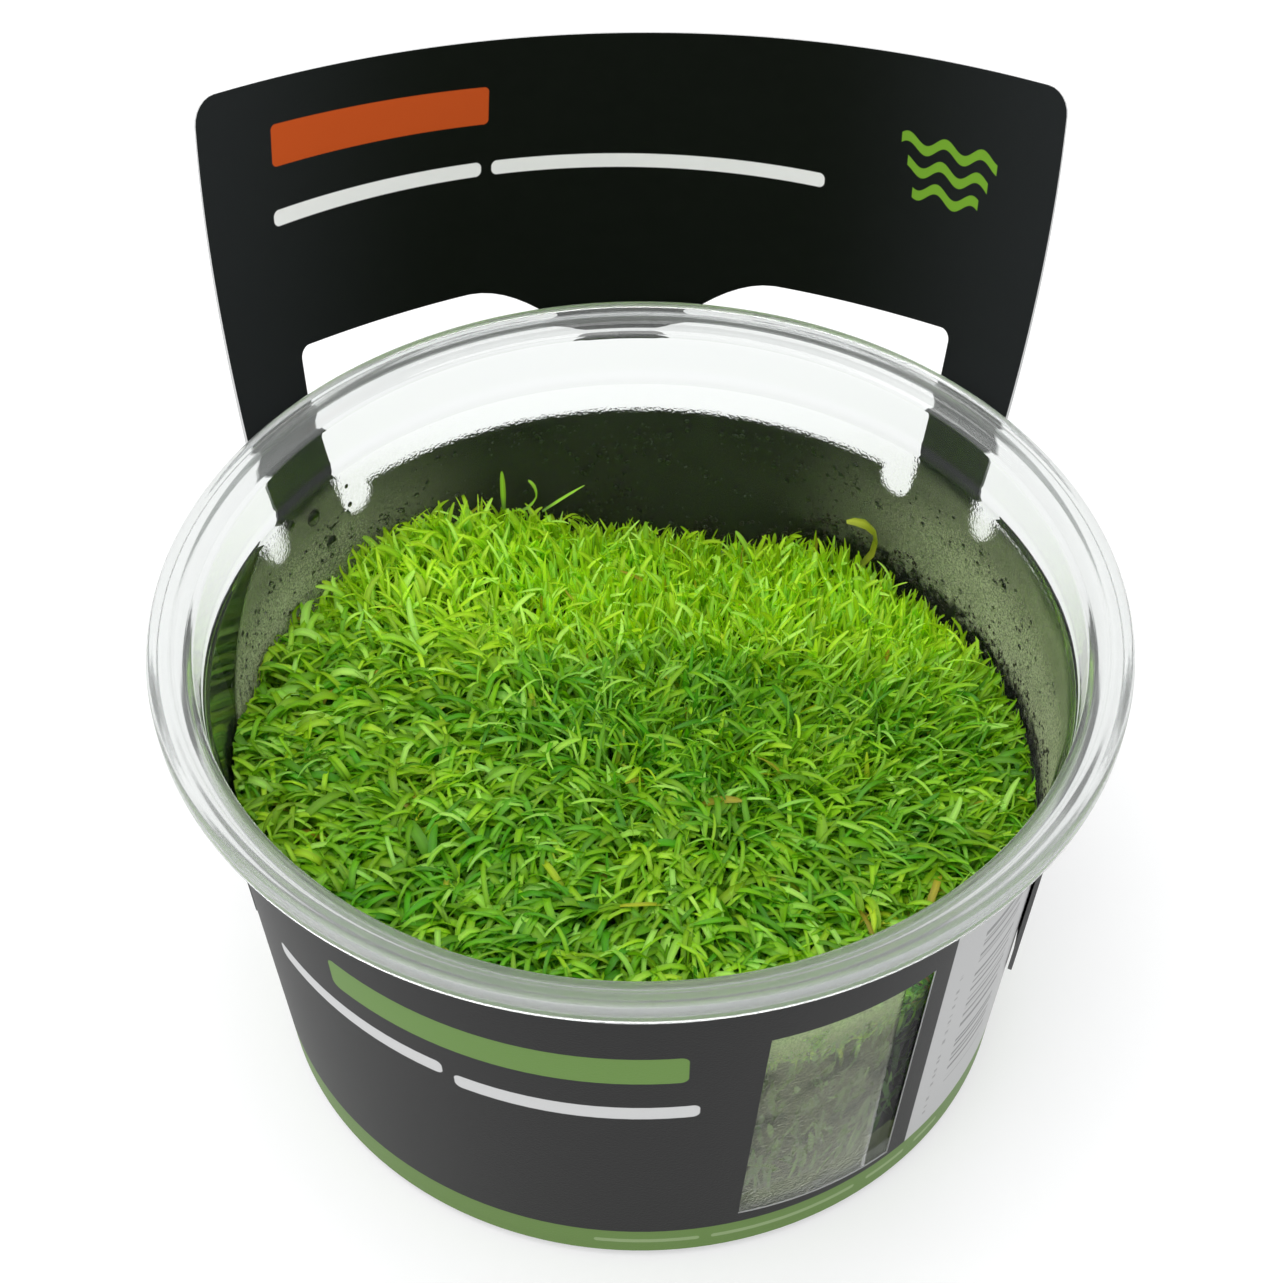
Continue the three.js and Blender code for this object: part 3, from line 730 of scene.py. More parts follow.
def film_print():
    finish = Finish("film_print")
    across, up = flat_place(finish)
    ground = finish.blend(finish.noise(900.0, 3.0), grey(0.007), grey(0.014))
    colour = printed(finish, ground, across, up, FILM_BARS)
    panel = ink(finish, finish.sum("SUBTRACT", float(film_across(PANEL_EDGE)), across))
    colour = finish.blend(panel, colour, grey(0.50))
    rows = finish.add("CombineXYZ", {"Y": up}).outputs[0]
    thin_and_thick = finish.step(finish.noise(1.15, 1.0, rows), 0.50, 0.56)
    for bearing, width, foot, top, strength in PANEL_LINES:
        middle = (float(film_across(bearing)), (foot + top) / 2)
        block = bar_distance(finish, across, up, middle, (width, top - foot), 0.1)
        lines = finish.times(ink(finish, block), thin_and_thick)
        colour = finish.blend(finish.times(lines, strength), colour, grey(0.14))
    stripe = ink(finish, finish.sum("SUBTRACT", up, STRIPE_TOP))
    colour = finish.blend(stripe, colour, STRIPE_INK)
    small_bars = [
        ((middle, STRIPE_BAR_HEIGHT), (width, STRIPE_BAR_SIZE), STRIPE_BAR_ROUNDING, SMALL_INK)
        for middle, width in STRIPE_BARS
    ]
    colour = printed(finish, colour, across, up, small_bars)
    ripple = finish.bump(finish.noise(300.0, 2.0), 0.0002, 0.15)
    return finish.surface(finish.skin(colour, 0.45, ripple, {"Specular IOR Level": 0.15}))


# %% [markdown]
# The film's back and its cut edge carry no print. Even a plain surface isn't one flat colour, so a fine
# grain mixes each of them with a slightly darker shade of itself.


# %% The film's back and edge
def darker(colour, share):
    """A colour with its red, green and blue taken down to a share."""
    return tuple(share * part for part in colour[:3]) + (1.0,)


def plain_finish(name, colour, roughness):
    """An unprinted side or edge of the film."""
    finish = Finish(name)
    grain = finish.noise(1500.0, 3.0)
    shade = finish.blend(grain, darker(colour, 0.88), colour)
    return finish.surface(finish.skin(shade, roughness, finish.bump(grain, 0.00005, 0.3)))


# %% [markdown]
# The film is cut as a rectangle with one hole and bent to lie just outside the wall. The hole is the
# window. The real film is clear there, and a film so thin and clear shows only what is behind it, so
# nothing is put in.

# %% Make the film
FILM_SPACING = 1.6
reach = film_across(FRONT - FILM_HALF_SPAN)
film_loop = [(-reach, FILM_FOOT), (reach, FILM_FOOT), (reach, FILM_TOP), (-reach, FILM_TOP)]
window_loop = [(film_across(bearing), up) for bearing, up in FILM_WINDOW]
film_edge = plain_finish("film_cut_edge", grey(0.55), 0.4)
film_back = plain_finish("film_back", grey(0.05), 0.5)
film_sides = [film_print(), film_back, film_edge]
film = cut_sheet(
    "printed_film", film_loop, window_loop, FILM_SPACING, on_film, FILM_THICKNESS, 1, film_sides
)
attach(film, "root")
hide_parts("wrap_label")

# %% [markdown]
# ## The header card
#
# One black card is cut with a long band, two legs and a panel, and bent round the cup: the band lies on
# the wall, the legs lean out past the rim, and the panel opens towards a flatter arc at its top. Its
# white core shows along every cut edge.

# %% The card's measures
CARD_THICKNESS = 0.4
BAND_GAP = 0.35
BAND_FOOT, BAND_TOP, SHOULDER_TOP = 16.4, 41.2, 43.2
BAND_ENDS = (-94.2, 110.2)
END_FLARE, FLARE_START = 0.2, 92.0
BAND_TURN, BAND_SPREAD = -2.6, 0.04
FOLD_HEIGHT = 40.0
CARD_AT_RIM = 48.0
PANEL_TOP, PANEL_TOP_RADIUS, PANEL_TOP_REACH = 80.5, 95.0, 56.8
PANEL_TOP_TURN, PANEL_HALF_ANGLE, PANEL_TOP_HALF_WIDTH = -1.0, 54.2, 44.8
PANEL_BULGE, PANEL_TAPER = 0.074, 0.022
LEG_INNER = 43.4
PANEL_FOOT, TONGUE_FOOT = 54.9, 48.7
TONGUE_HALF_ANGLE, TONGUE_ROOT_ANGLE = 5.5, 20.0
INNER_SLOT = {"middle": 40.85, "half": 2.55, "depth": 2.0, "top": 40.5}
OUTER_SLOT = {"middle": 56.3, "half": 2.1, "depth": 1.6, "top": 41.8}
ARC_PER_DEGREE = 0.85  # flat millimetres across the card for each degree
SLANT = 1.05  # flat millimetres up the panel for each millimetre of height
print("card panel:", 2 * PANEL_TOP_HALF_WIDTH, "mm wide, with its top", PANEL_TOP, "mm up")

# %% [markdown]
# A card bends one way at a time, and is easiest to place point by point. Below the rim a point follows
# the wall and then leans out. Above the rim it lies on a straight line from the arc at the rim to the
# flatter arc at the panel's top, because stiff card stays straight along the line that it curls round.


# %% Bend the card
def smoothstep(value, low, high):
    """A share that rises smoothly from 0 at low to 1 at high. It falls where low is the larger number."""
    share = np.clip((np.asarray(value, float) - low) / (high - low), 0, 1)
    return share * share * (3 - 2 * share)


def on_card(across, up):
    """The card's inner face, from flat millimetres across and height."""
    angle = across / ARC_PER_DEGREE
    below = np.clip((RIM_FOOT - up) / (RIM_FOOT - FOLD_HEIGHT), 0, 1)
    flare = END_FLARE * smoothstep(angle, FLARE_START, BAND_ENDS[1]) ** 2
    at_fold = wall_radius(FOLD_HEIGHT) + BAND_GAP + flare
    leaning = CARD_AT_RIM + (at_fold - CARD_AT_RIM) * below
    radius = np.where(up < FOLD_HEIGHT, wall_radius(up) + BAND_GAP + flare, leaning)
    lower = on_bearing(angle * (1 + BAND_SPREAD * below) + BAND_TURN, radius, up)
    share = np.clip((up - RIM_FOOT) / (PANEL_TOP - RIM_FOOT), 0, 1)
    spread = angle * (1 + PANEL_BULGE * share * (1 - share) - PANEL_TAPER * share)
    at_rim = on_bearing(spread + BAND_TURN, CARD_AT_RIM, RIM_FOOT)
    turn = spread / PANEL_HALF_ANGLE * math.asin(PANEL_TOP_HALF_WIDTH / PANEL_TOP_RADIUS)
    x = PANEL_TOP_RADIUS * np.sin(turn)
    y = PANEL_TOP_REACH - PANEL_TOP_RADIUS * (1 - np.cos(turn))
    swing = -math.radians(PANEL_TOP_TURN)
    turned_x = x * math.cos(swing) - y * math.sin(swing)
    turned_y = x * math.sin(swing) + y * math.cos(swing)
    at_top = np.stack([turned_x, turned_y, np.full_like(x, PANEL_TOP)], axis=-1)
    upper = at_rim + (at_top - at_rim) * share[:, None]
    return np.where((up < RIM_FOOT)[:, None], lower, upper)


# %% [markdown]
# The outline is drawn in degrees across and millimetres up, as one half that is then mirrored. The
# round corners and the round-bottomed notches beside the legs, where light falls through, are arcs of
# ellipses.


# %% Arcs and notches
def arc(middle, radii, start, end, steps=7):
    """Points on an ellipse's arc, from one angle in degrees to another."""
    angles = np.radians(np.linspace(start, end, steps))
    return [(middle[0] + radii[0] * math.cos(a), middle[1] + radii[1] * math.sin(a)) for a in angles]


def mirrored(points):
    return [(-x, y) for x, y in reversed(points)]


def slot_dip(slot, steps=9):
    """The round-bottomed notch at the foot of a leg, from right to left."""
    middle = (slot["middle"], slot["top"])
    return arc(middle, (slot["half"], slot["depth"]), 0, -180, steps)


# %% The card's outer edge
TOP_CORNER = (2.6, 2.2)  # degrees across, millimetres up
PANEL_SIDE_FOOT = 46.0
right_side = [
    (OUTER_SLOT["middle"] + OUTER_SLOT["half"], SHOULDER_TOP),
    *slot_dip(OUTER_SLOT),
    (PANEL_HALF_ANGLE, PANEL_SIDE_FOOT),
    *arc((PANEL_HALF_ANGLE - TOP_CORNER[0], PANEL_TOP - TOP_CORNER[1]), TOP_CORNER, 0, 90),
]
END_ROUNDING = (1.6, 1.4)
card_loop = [
    *arc((BAND_ENDS[0] + END_ROUNDING[0], BAND_FOOT + END_ROUNDING[1]), END_ROUNDING, 180, 270),
    *arc((BAND_ENDS[1] - END_ROUNDING[0], BAND_FOOT + END_ROUNDING[1]), END_ROUNDING, -90, 0),
    (BAND_ENDS[1], SHOULDER_TOP),
    *right_side,
    *mirrored(right_side),
    (BAND_ENDS[0], SHOULDER_TOP),
]
print("card edge:", len(card_loop), "points")

# %% [markdown]
# The two windows and the gap under the tongue are one opening. Its top edge is lowest at the tongue,
# rises from there in a soft curve, and climbs a little more towards the legs.

# %% The card's opening
WINDOW_CORNER = (1.2, 1.0)
WINDOW_SIDE_FOOT = 44.0
WINDOW_TOP_RISE = 0.0022  # how fast the windows' top edge climbs towards the legs


def panel_foot(angle):
    """The windows' top edge and the tongue between them."""
    a = abs(angle)
    if a < TONGUE_ROOT_ANGLE:
        share = min(max((a - TONGUE_HALF_ANGLE) / (TONGUE_ROOT_ANGLE - TONGUE_HALF_ANGLE), 0), 1)
        return TONGUE_FOOT + (PANEL_FOOT - TONGUE_FOOT) * math.sin(share * math.pi / 2)
    return PANEL_FOOT + WINDOW_TOP_RISE * (a - TONGUE_ROOT_ANGLE) ** 2


window_corner_foot = panel_foot(LEG_INNER - WINDOW_CORNER[0])
window_half = [
    *[(a, panel_foot(a)) for a in np.arange(0, LEG_INNER - WINDOW_CORNER[0], 1.5)],
    *arc((LEG_INNER - WINDOW_CORNER[0], window_corner_foot - WINDOW_CORNER[1]), WINDOW_CORNER, 90, 0),
    (LEG_INNER, WINDOW_SIDE_FOOT),
    *slot_dip(INNER_SLOT),
    (INNER_SLOT["middle"] - INNER_SLOT["half"], BAND_TOP),
]
card_hole = [*window_half, *mirrored(window_half)[:-1]]
print("card opening:", len(card_hole), "points")

# %% [markdown]
# The card is matt black with a fine fibre grain. Its sides are painted a little paler, a painted sheen
# where they turn towards the light. Its motifs are drawn with arithmetic too: plain rounded bars, and a
# sine curve for each wave.

# %% The card's print
ORANGE_INK, WHITE_INK, WAVE_INK = (0.52, 0.080, 0.014, 1.0), (0.86, 0.86, 0.84, 1.0), (0.17, 0.36, 0.03, 1.0)
CARD_BARS = [  # middle, size, rounding, ink
    ((-26.2, 23.8), (23.4, 3.9), 0.5, ORANGE_INK),
    ((-26.7, 17.1), (23.0, 1.5), 0.6, WHITE_INK),
    ((3.4, 17.1), (35.0, 1.5), 0.6, WHITE_INK),
]
BAR_SLOPE = 0.027  # the bars drop a little towards the right
WAVES, WAVE_SPACING, WAVE_TOP, WAVE_SWING, WAVE_HALF_THICKNESS = 3, 2.3, 22.4, 0.55, 0.5
WAVE_PLACE, WAVE_WIDTH, WAVE_NARROWING = (34.0, 20.4), 10.5, 1.6
BLACK_MIDDLE = [(0.0022, 0.0042, 0.0018, 1.0), (0.0040, 0.0062, 0.0034, 1.0)]
BLACK_SIDE_SHEEN = (0.0170, 0.0195, 0.0200, 1.0)


def card_print(name, with_motifs):
    """Matt black card. The face that looks over the cup has an orange tab, white bars and green waves."""
    finish = Finish(name)
    across, up = flat_place(finish)
    grain = finish.noise(2200.0, 4.0, rough=0.7)
    ground = finish.blend(finish.noise(40.0, 2.0), *BLACK_MIDDLE)
    # Painted sheen: towards its sides the card is drawn paler than in its middle.
    side = finish.step(finish.sum("ABSOLUTE", across), 18.0, 47.0)
    ground = finish.blend(side, ground, BLACK_SIDE_SHEEN)
    colour = finish.blend(finish.times(grain, 0.25), ground, grey(0.016))
    if with_motifs:
        rise = finish.times(finish.sum("SUBTRACT", up, RIM_FOOT), SLANT)
        colour = printed(finish, colour, across, finish.scaled(across, BAR_SLOPE, rise), CARD_BARS)
        for k in range(WAVES):
            swing = finish.sum("SINE", finish.scaled(across, 1.55, 0.4 * k))
            crest = finish.scaled(swing, WAVE_SWING, WAVE_TOP - WAVE_SPACING * k)
            away = finish.sum("ABSOLUTE", finish.sum("SUBTRACT", rise, crest))
            line = ink(finish, finish.sum("SUBTRACT", away, WAVE_HALF_THICKNESS))
            size = (WAVE_WIDTH - WAVE_NARROWING * k, 12.0)
            within = ink(finish, bar_distance(finish, across, rise, WAVE_PLACE, size, 0.5))
            colour = finish.blend(finish.times(line, within), colour, WAVE_INK)
    fibres = finish.bump(grain, 0.00012, 0.55)
    dull = finish.scaled(grain, 0.2, 0.45)
    return finish.surface(finish.skin(colour, dull, fibres, {"Specular IOR Level": 0.04}))


# %% [markdown]
# The card is black on its faces only. Along a cut its pale core shows, clean round the panel and drawn
# dark grey along the band, which is painted shade under the rim.


# %% The card's cut edge
def card_core_finish():
    finish = Finish("card_cut_core")
    _, up = flat_place(finish)
    pale = finish.blend(finish.noise(1500.0, 3.0), grey(0.50), grey(0.66))
    # Painted shade: below the rim the cut edge is blended to dark grey.
    return finish.surface(finish.skin(finish.blend(finish.step(up, 49.0, 45.0), pale, grey(0.10)), 0.7))


# %% [markdown]
# Both faces are black, but only the one that looks over the cup has motifs. The sheet's grid is finer
# than the film's, because the card bends more and its corners are smaller.

# %% Make the card
CARD_SPACING = 1.3


def flattened(loop):
    return [(x * ARC_PER_DEGREE, y) for x, y in loop]


card_sides = [card_print("card_front_print", True), card_print("card_back_print", False), card_core_finish()]
card = cut_sheet(
    "header_card_sheet",
    flattened(card_loop),
    flattened(card_hole),
    CARD_SPACING,
    on_card,
    CARD_THICKNESS,
    -1,
    card_sides,
)
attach(card, "root")
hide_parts("header_card")

# %% [markdown]
# ## The culture gel
#
# The gel was poured hot and set, so it has the shape of the cup's floor and a level top that creeps up
# a little at the wall. It is turned like the cup. It is tinted a dark olive, so that it reads dark at
# the foot of the film's window.

# %% The gel
GEL_TOP = 6.9
GEL_GAP = 0.3
GEL_COLOUR = (0.08, 0.10, 0.04, 1.0)
GEL_TURNS = 120
gel_finish = Finish("culture_gel")
gel_ripple = gel_finish.bump(gel_finish.noise(180.0, 2.0), 0.0006, 0.5)
gel_material = gel_finish.surface(gel_finish.skin(GEL_COLOUR, 0.08, gel_ripple, {"IOR": 1.34, **CLEAR}))
gel_foot = FLOOR_THICKNESS + GEL_GAP
gel_side = wall_radius(GEL_TOP) - WALL - GEL_GAP
gel_outline = rounded(
    [
        (AXIS_GAP, gel_foot, 0),
        (FOOT_RADIUS - 2.3, gel_foot, 0.5),
        (FOOT_RADIUS - 1.5, gel_foot + 0.4, 0.5),
        (wall_radius(3) - WALL - GEL_GAP, 3.0, 0.5),
        (gel_side, GEL_TOP, 0.3),
        (gel_side - 0.8, GEL_TOP - 0.25, 0.4),
        (gel_side - 2.5, GEL_TOP - 0.45, 0.8),
        (AXIS_GAP, GEL_TOP - 0.45, 0),
    ]
)
gel = mesh_object("set_culture_gel", *turned(gel_outline, GEL_TURNS), [gel_material])
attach(gel, "root")
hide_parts("nutrient_gel")

# %% [markdown]
# ## The leaves
#
# Each leaf is a narrow strap that rises from its root, arches over and ends in a blunt tip. Thousands
# of them are worked out at once with arrays: one row of numbers for each leaf, one column for each
# station along it. A leaf's shade, its place along the blade, its tint and its middle line are kept with
# the mesh as the four parts of a colour, so that one material can shade every leaf a little differently.
# The shade is partly random and partly painted light and shade, and the middle line is a painted
# highlight.

# %% A blade's outline
STATIONS = np.array([0.0, 0.17, 0.34, 0.50, 0.65, 0.79, 0.91, 1.0])


def blade_width(share):
    """How wide a leaf is along its length: a narrower stalk, even in the middle, and a blunt tip."""
    opening = 0.62 + 0.38 * smoothstep(share, 0.0, 0.4)
    closing = np.sqrt(np.clip(1 - np.clip((share - 0.62) / 0.40, 0, 1) ** 2, 0, 1))
    return opening * np.maximum(closing, 0.28)


print("width along a blade:", np.round(blade_width(STATIONS), 2))

# %% [markdown]
# A leaf's middle line is found by walking along it. At each station the leaf has tilted over a little
# more and may have swung to one side, so the steps between the stations add up to an arch.


# %% The leaves' middle lines
def leaf_lines(leaf):
    """Each leaf's middle line from its root, the way it heads along it, and its sideways direction."""
    share = STATIONS[None, :]
    tilt = leaf["lean"][:, None] + leaf["arch"][:, None] * share**1.2
    course = leaf["heading"][:, None] + leaf["swirl"][:, None] * share
    ahead = np.stack([np.sin(tilt) * np.sin(course), np.sin(tilt) * np.cos(course), np.cos(tilt)], axis=-1)
    steps = np.diff(STATIONS)[None, :, None] * leaf["length"][:, None, None]
    middle = np.cumsum((ahead[:, 1:] + ahead[:, :-1]) / 2 * steps, axis=1)
    middle = np.concatenate([np.zeros((len(tilt), 1, 3)), middle], axis=1)
    side = np.stack([np.cos(course), -np.sin(course), np.zeros_like(course)], axis=-1)
    return middle, ahead, side


# %% [markdown]
# A blade is folded a little along its middle, like a shallow gutter, so it catches the light on one
# side and shades the other. Each station gets three corners, two at the edges and a lower one between
# them, and turns a little about the middle line as the leaf twists.

# %% Ribbons along the lines
CHANNEL_DEPTH = 0.34  # how far the middle of a blade lies below its edges, as a share of half its width


def leaf_ribbons(leaf, middle, ahead, side):
    """Corner places, faces and colours of the blades along their middle lines."""
    count, stations = middle.shape[:2]
    share = STATIONS[None, :]
    roll = (leaf["twist"][:, None] * (share - 0.15))[..., None]
    across = side * np.cos(roll) + np.cross(side, ahead) * np.sin(roll)
    up = np.cross(across, ahead)
    half = (leaf["width"][:, None] * blade_width(share) / 2)[..., None]
    sideways = across * half
    corners = np.stack([middle - sideways, middle - up * half * CHANNEL_DEPTH, middle + sideways], axis=2)
    colours = np.ones((count, stations, 3, 4), np.float32)
    colours[..., 0] = leaf["shade"][:, None, None]
    colours[..., 1] = share[..., None]
    colours[..., 2] = leaf["tint"][:, None, None]
    # The alpha marks the middle line, which the finish brightens as a painted highlight.
    colours[..., 3] = np.array([0.0, 1.0, 0.0])
    first = (np.arange(count) * stations * 3)[:, None, None]
    first = first + (np.arange(stations - 1) * 3)[None, :, None] + np.arange(2)[None, None, :]
    faces = np.stack([first, first + 1, first + 4, first + 3], axis=-1).reshape(-1, 4)
    return corners.reshape(-1, 3), faces, colours.reshape(-1, 4)


# %% [markdown]
# The tips reach a gently sloping, slightly domed surface that climbs the wall at the sides. It could be
# sculpted, but a sum of a slope, a dome and a few soft bumps can be asked for its height anywhere, and
# each leaf is raised or lowered by it.

# %% The carpet's surface
CARPET_TOP, SLOPE_RIGHT, SLOPE_BACK, DOME = 37.1, 0.043, 0.1, 0.003
CLIMB_REACH = (22, 39.5)  # from here outwards, the carpet climbs
DIP_BEARING, BACK_DIP, DIP_REACH = 4, 1.0, (8, 24)
SIDE_CLIMB, SIDE_REACH = 2.7, (14, 34)
FRONT_LOSS, FRONT_REACH = 0.7, (95, 135)
BACK_LEFT_CLIMB, BACK_LEFT_BEARING, BACK_LEFT_REACH = 3.1, -37, (4, 22)
LOCAL_RISES = [  # x, y, how much higher, how wide
    (-10.0, 33.0, 2.6, 4.5),
    (0.8, 35.0, 2.2, 1.8),
    (18.0, 32.0, 1.2, 4.0),
    (-28.6, 24.0, 1.6, 2.5),
    (-35.0, 6.0, -1.6, 6.0),
]


def wall_climb(bearing):
    """How far the carpet climbs the wall: at both sides, most at the back left, and it dips at the back."""
    from_back = np.abs(bearing - DIP_BEARING)
    side = SIDE_CLIMB * smoothstep(from_back, *SIDE_REACH)
    side = side * (1 - FRONT_LOSS * smoothstep(from_back, *FRONT_REACH))
    back_left = BACK_LEFT_CLIMB * (1 - smoothstep(np.abs(bearing - BACK_LEFT_BEARING), *BACK_LEFT_REACH))
    return side + back_left - BACK_DIP * (1 - smoothstep(from_back, *DIP_REACH))


def tip_height(x, y):
    """How high the tips reach over a place."""
    radius = np.hypot(x, y)
    climb = wall_climb(np.degrees(np.arctan2(x, y))) * smoothstep(radius, *CLIMB_REACH)
    for middle_x, middle_y, rise, reach in LOCAL_RISES:
        climb = climb + rise * np.exp(-((x - middle_x) ** 2 + (y - middle_y) ** 2) / (2 * reach**2))
    return CARPET_TOP - SLOPE_RIGHT * x - SLOPE_BACK * y - DOME * radius**2 + climb


print("carpet's height in its middle:", round(float(tip_height(0, 0)), 1), "mm")

# %% [markdown]
# A leaf can't go through the plastic, so any corner that would is brought back inside, which also bends
# the outer leaves along the wall as the real ones do.

# %% Keep leaves in the cup
LEAF_WALL_GAP = 0.4
DRAWN_BACK = 1.0


def edge_gap(x, y):
    """How far the plant stands off the wall: it has drawn away from it at the right and at the back."""
    bearing = np.degrees(np.arctan2(x, y))
    return LEAF_WALL_GAP + DRAWN_BACK * smoothstep(bearing, 5, 50) * smoothstep(bearing, 115, 85)


def kept_inside(corners):
    x, y, height = corners.T
    limit = wall_radius(np.clip(height, 1, STEP_HEIGHT)) - WALL - edge_gap(x, y)
    radius = np.hypot(x, y)
    over = np.maximum(radius - limit, 0)
    scale = np.where(over > 0, (limit - 0.08 * np.minimum(over, 3)) / np.maximum(radius, 1e-6), 1)
    corners[:, :2] *= scale[:, None]
    return corners


# %% One piece of many leaves
def leaves(name, material, leaf, depth=None):
    """One piece of many leaves. depth, where it is given, is how far under the surface their tops lie."""
    middle, ahead, side = leaf_lines(leaf)
    middle = middle + leaf["root"][:, None, :]
    if depth is not None:
        top = np.argmax(middle[..., 2], axis=1)[:, None, None]
        crown = np.take_along_axis(middle, np.broadcast_to(top, (len(top), 1, 3)), axis=1)[:, 0]
        middle[..., 2] += (tip_height(crown[:, 0], crown[:, 1]) - depth - crown[:, 2])[:, None]
    corners, faces, colours = leaf_ribbons(leaf, middle, ahead, side)
    piece = mesh_object(name, kept_inside(corners), faces, [material])
    attribute = piece.data.color_attributes.new("leaf", "FLOAT_COLOR", "POINT")
    attribute.data.foreach_set("color", colours.ravel())
    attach(piece, "root")
    return piece


# %% [markdown]
# A leaf this thin lets light through, so the finish mixes a waxy skin with a translucent layer of the
# same green. The four numbers that are kept with each leaf vary it: painted shade darkens the stalk, a
# painted highlight brightens the middle line, the brightest blades are painted paler as highlights,
# and now and then a blade is yellow or withered.


# %% The leaf finish
WITHERED = (0.42, 0.30, 0.03, 1.0)
TRANSLUCENCE = 0.42


def leaf_finish(name, shaded_stalk, fresh, yellow, pale):
    """A thin waxy leaf: darkened at the stalk by painted shade, fresh green above, lit through by the light
    behind it.
    """
    finish = Finish(name)
    kept = finish.add("Attribute", attribute_name="leaf")
    shade, along, tint = finish.add("SeparateColor", {0: kept.outputs["Color"]}).outputs
    streak = finish.noise(900.0, 2.0)
    body = finish.blend(tint, fresh, yellow)
    # Painted shade: each blade darkens towards its stalk, down among the other leaves.
    body = finish.blend(finish.step(along, 0.42, 0.0), body, shaded_stalk)
    # Painted highlight: the leaves with the highest shade number are blended towards the pale colour.
    body = finish.blend(finish.times(finish.step(shade, 0.80, 0.98), 0.6), body, pale)
    body = finish.blend(finish.step(tint, 1.0, 1.6), body, WITHERED)
    value = finish.scaled(shade, 0.60, 0.66)
    value = finish.times(value, finish.scaled(streak, 0.5, 0.75))
    # Painted highlight: the middle line, kept as the colour's alpha, is drawn brighter than the edges.
    value = finish.times(value, finish.scaled(kept.outputs["Alpha"], 0.35, 0.85))
    colour = finish.add("HueSaturation", {"Value": value, "Color": body}).outputs[0]
    through = finish.add("HueSaturation", {"Value": 1.3, "Saturation": 1.1, "Color": colour}).outputs[0]
    skin = finish.skin(colour, 0.36, finish.bump(streak, 0.0001, 0.35), {"Specular IOR Level": 0.35})
    glow = finish.add("BsdfTranslucent", {"Color": through}).outputs[0]
    return finish.surface(finish.mixed(TRANSLUCENCE, skin, glow))


leaf_green = leaf_finish(
    "leaf_green",
    shaded_stalk=(0.022, 0.085, 0.002, 1.0),
    fresh=(0.085, 0.360, 0.006, 1.0),
    yellow=(0.500, 0.760, 0.024, 1.0),
    pale=(0.420, 0.680, 0.150, 1.0),
)
print("leaf finish:", leaf_green.name)

# %% [markdown]
# The plant grows in small tufts: several leaves rise close together and lean out from each other. The
# tufts are spread evenly by the golden angle, like seeds in a sunflower, with some disorder added. How
# a leaf grows depends on where it stands: at the back the leaves are short, upright and yellowish, at
# the left and the front they are wide and arch right over, and at the right they are blades that point
# outward.

# %% Spread and sway
GOLDEN_ANGLE = math.pi * (3 - math.sqrt(5))
SEED = 11
rng = np.random.default_rng(SEED)


def scattered(count, radius, jitter):
    """Even points on a disc."""
    k = np.arange(count) + 0.5
    reach = radius * np.sqrt(k / count)
    angle = k * GOLDEN_ANGLE
    x = reach * np.sin(angle) + rng.normal(0, jitter, count)
    y = reach * np.cos(angle) + rng.normal(0, jitter, count)
    over = np.maximum(np.hypot(x, y) / radius, 1)
    return x / over, y / over


def gentle_field(x, y, scale, phase):
    """A smooth random-looking number between -1 and 1 that changes slowly over the plant."""
    u, v = x / scale + phase, y / scale - phase
    return np.sin(u + 1.7 * np.sin(v * 0.9 + phase)) * np.cos(1.3 * v - 1.1 * np.sin(u * 1.2))


# %% [markdown]
# Four shares say how far back, left, right and front a leaf stands, and every habit of growth is a sum
# of them. A plant has no sharp borders, so each share rises smoothly.


# %% Where a leaf stands
def standing(x, y):
    back = smoothstep(y, 6, 24)
    left = smoothstep(-x, 2, 24) * (1 - 0.7 * back)
    right = smoothstep(x, 8, 30) * (1 - 0.5 * back)
    front = smoothstep(-y, 2, 24) * (1 - 0.5 * right)
    return back, left, right, front


# %% [markdown]
# The carpet's numbers are drawn in one fixed order from a seeded source, so the plant is the same each
# time.

# %% The carpet's numbers
TUFTS, LEAVES_PER_TUFT = 4000, 6
PLANT_RADIUS = 39.6
TUFT_JITTER, LEAF_JITTER = 0.35, 0.4
SHARE_ON_TOP = 0.22
PATCH_PLACE, PATCH_REACH = (25.0, -24.0), (7, 3)  # where some leaves have turned brown


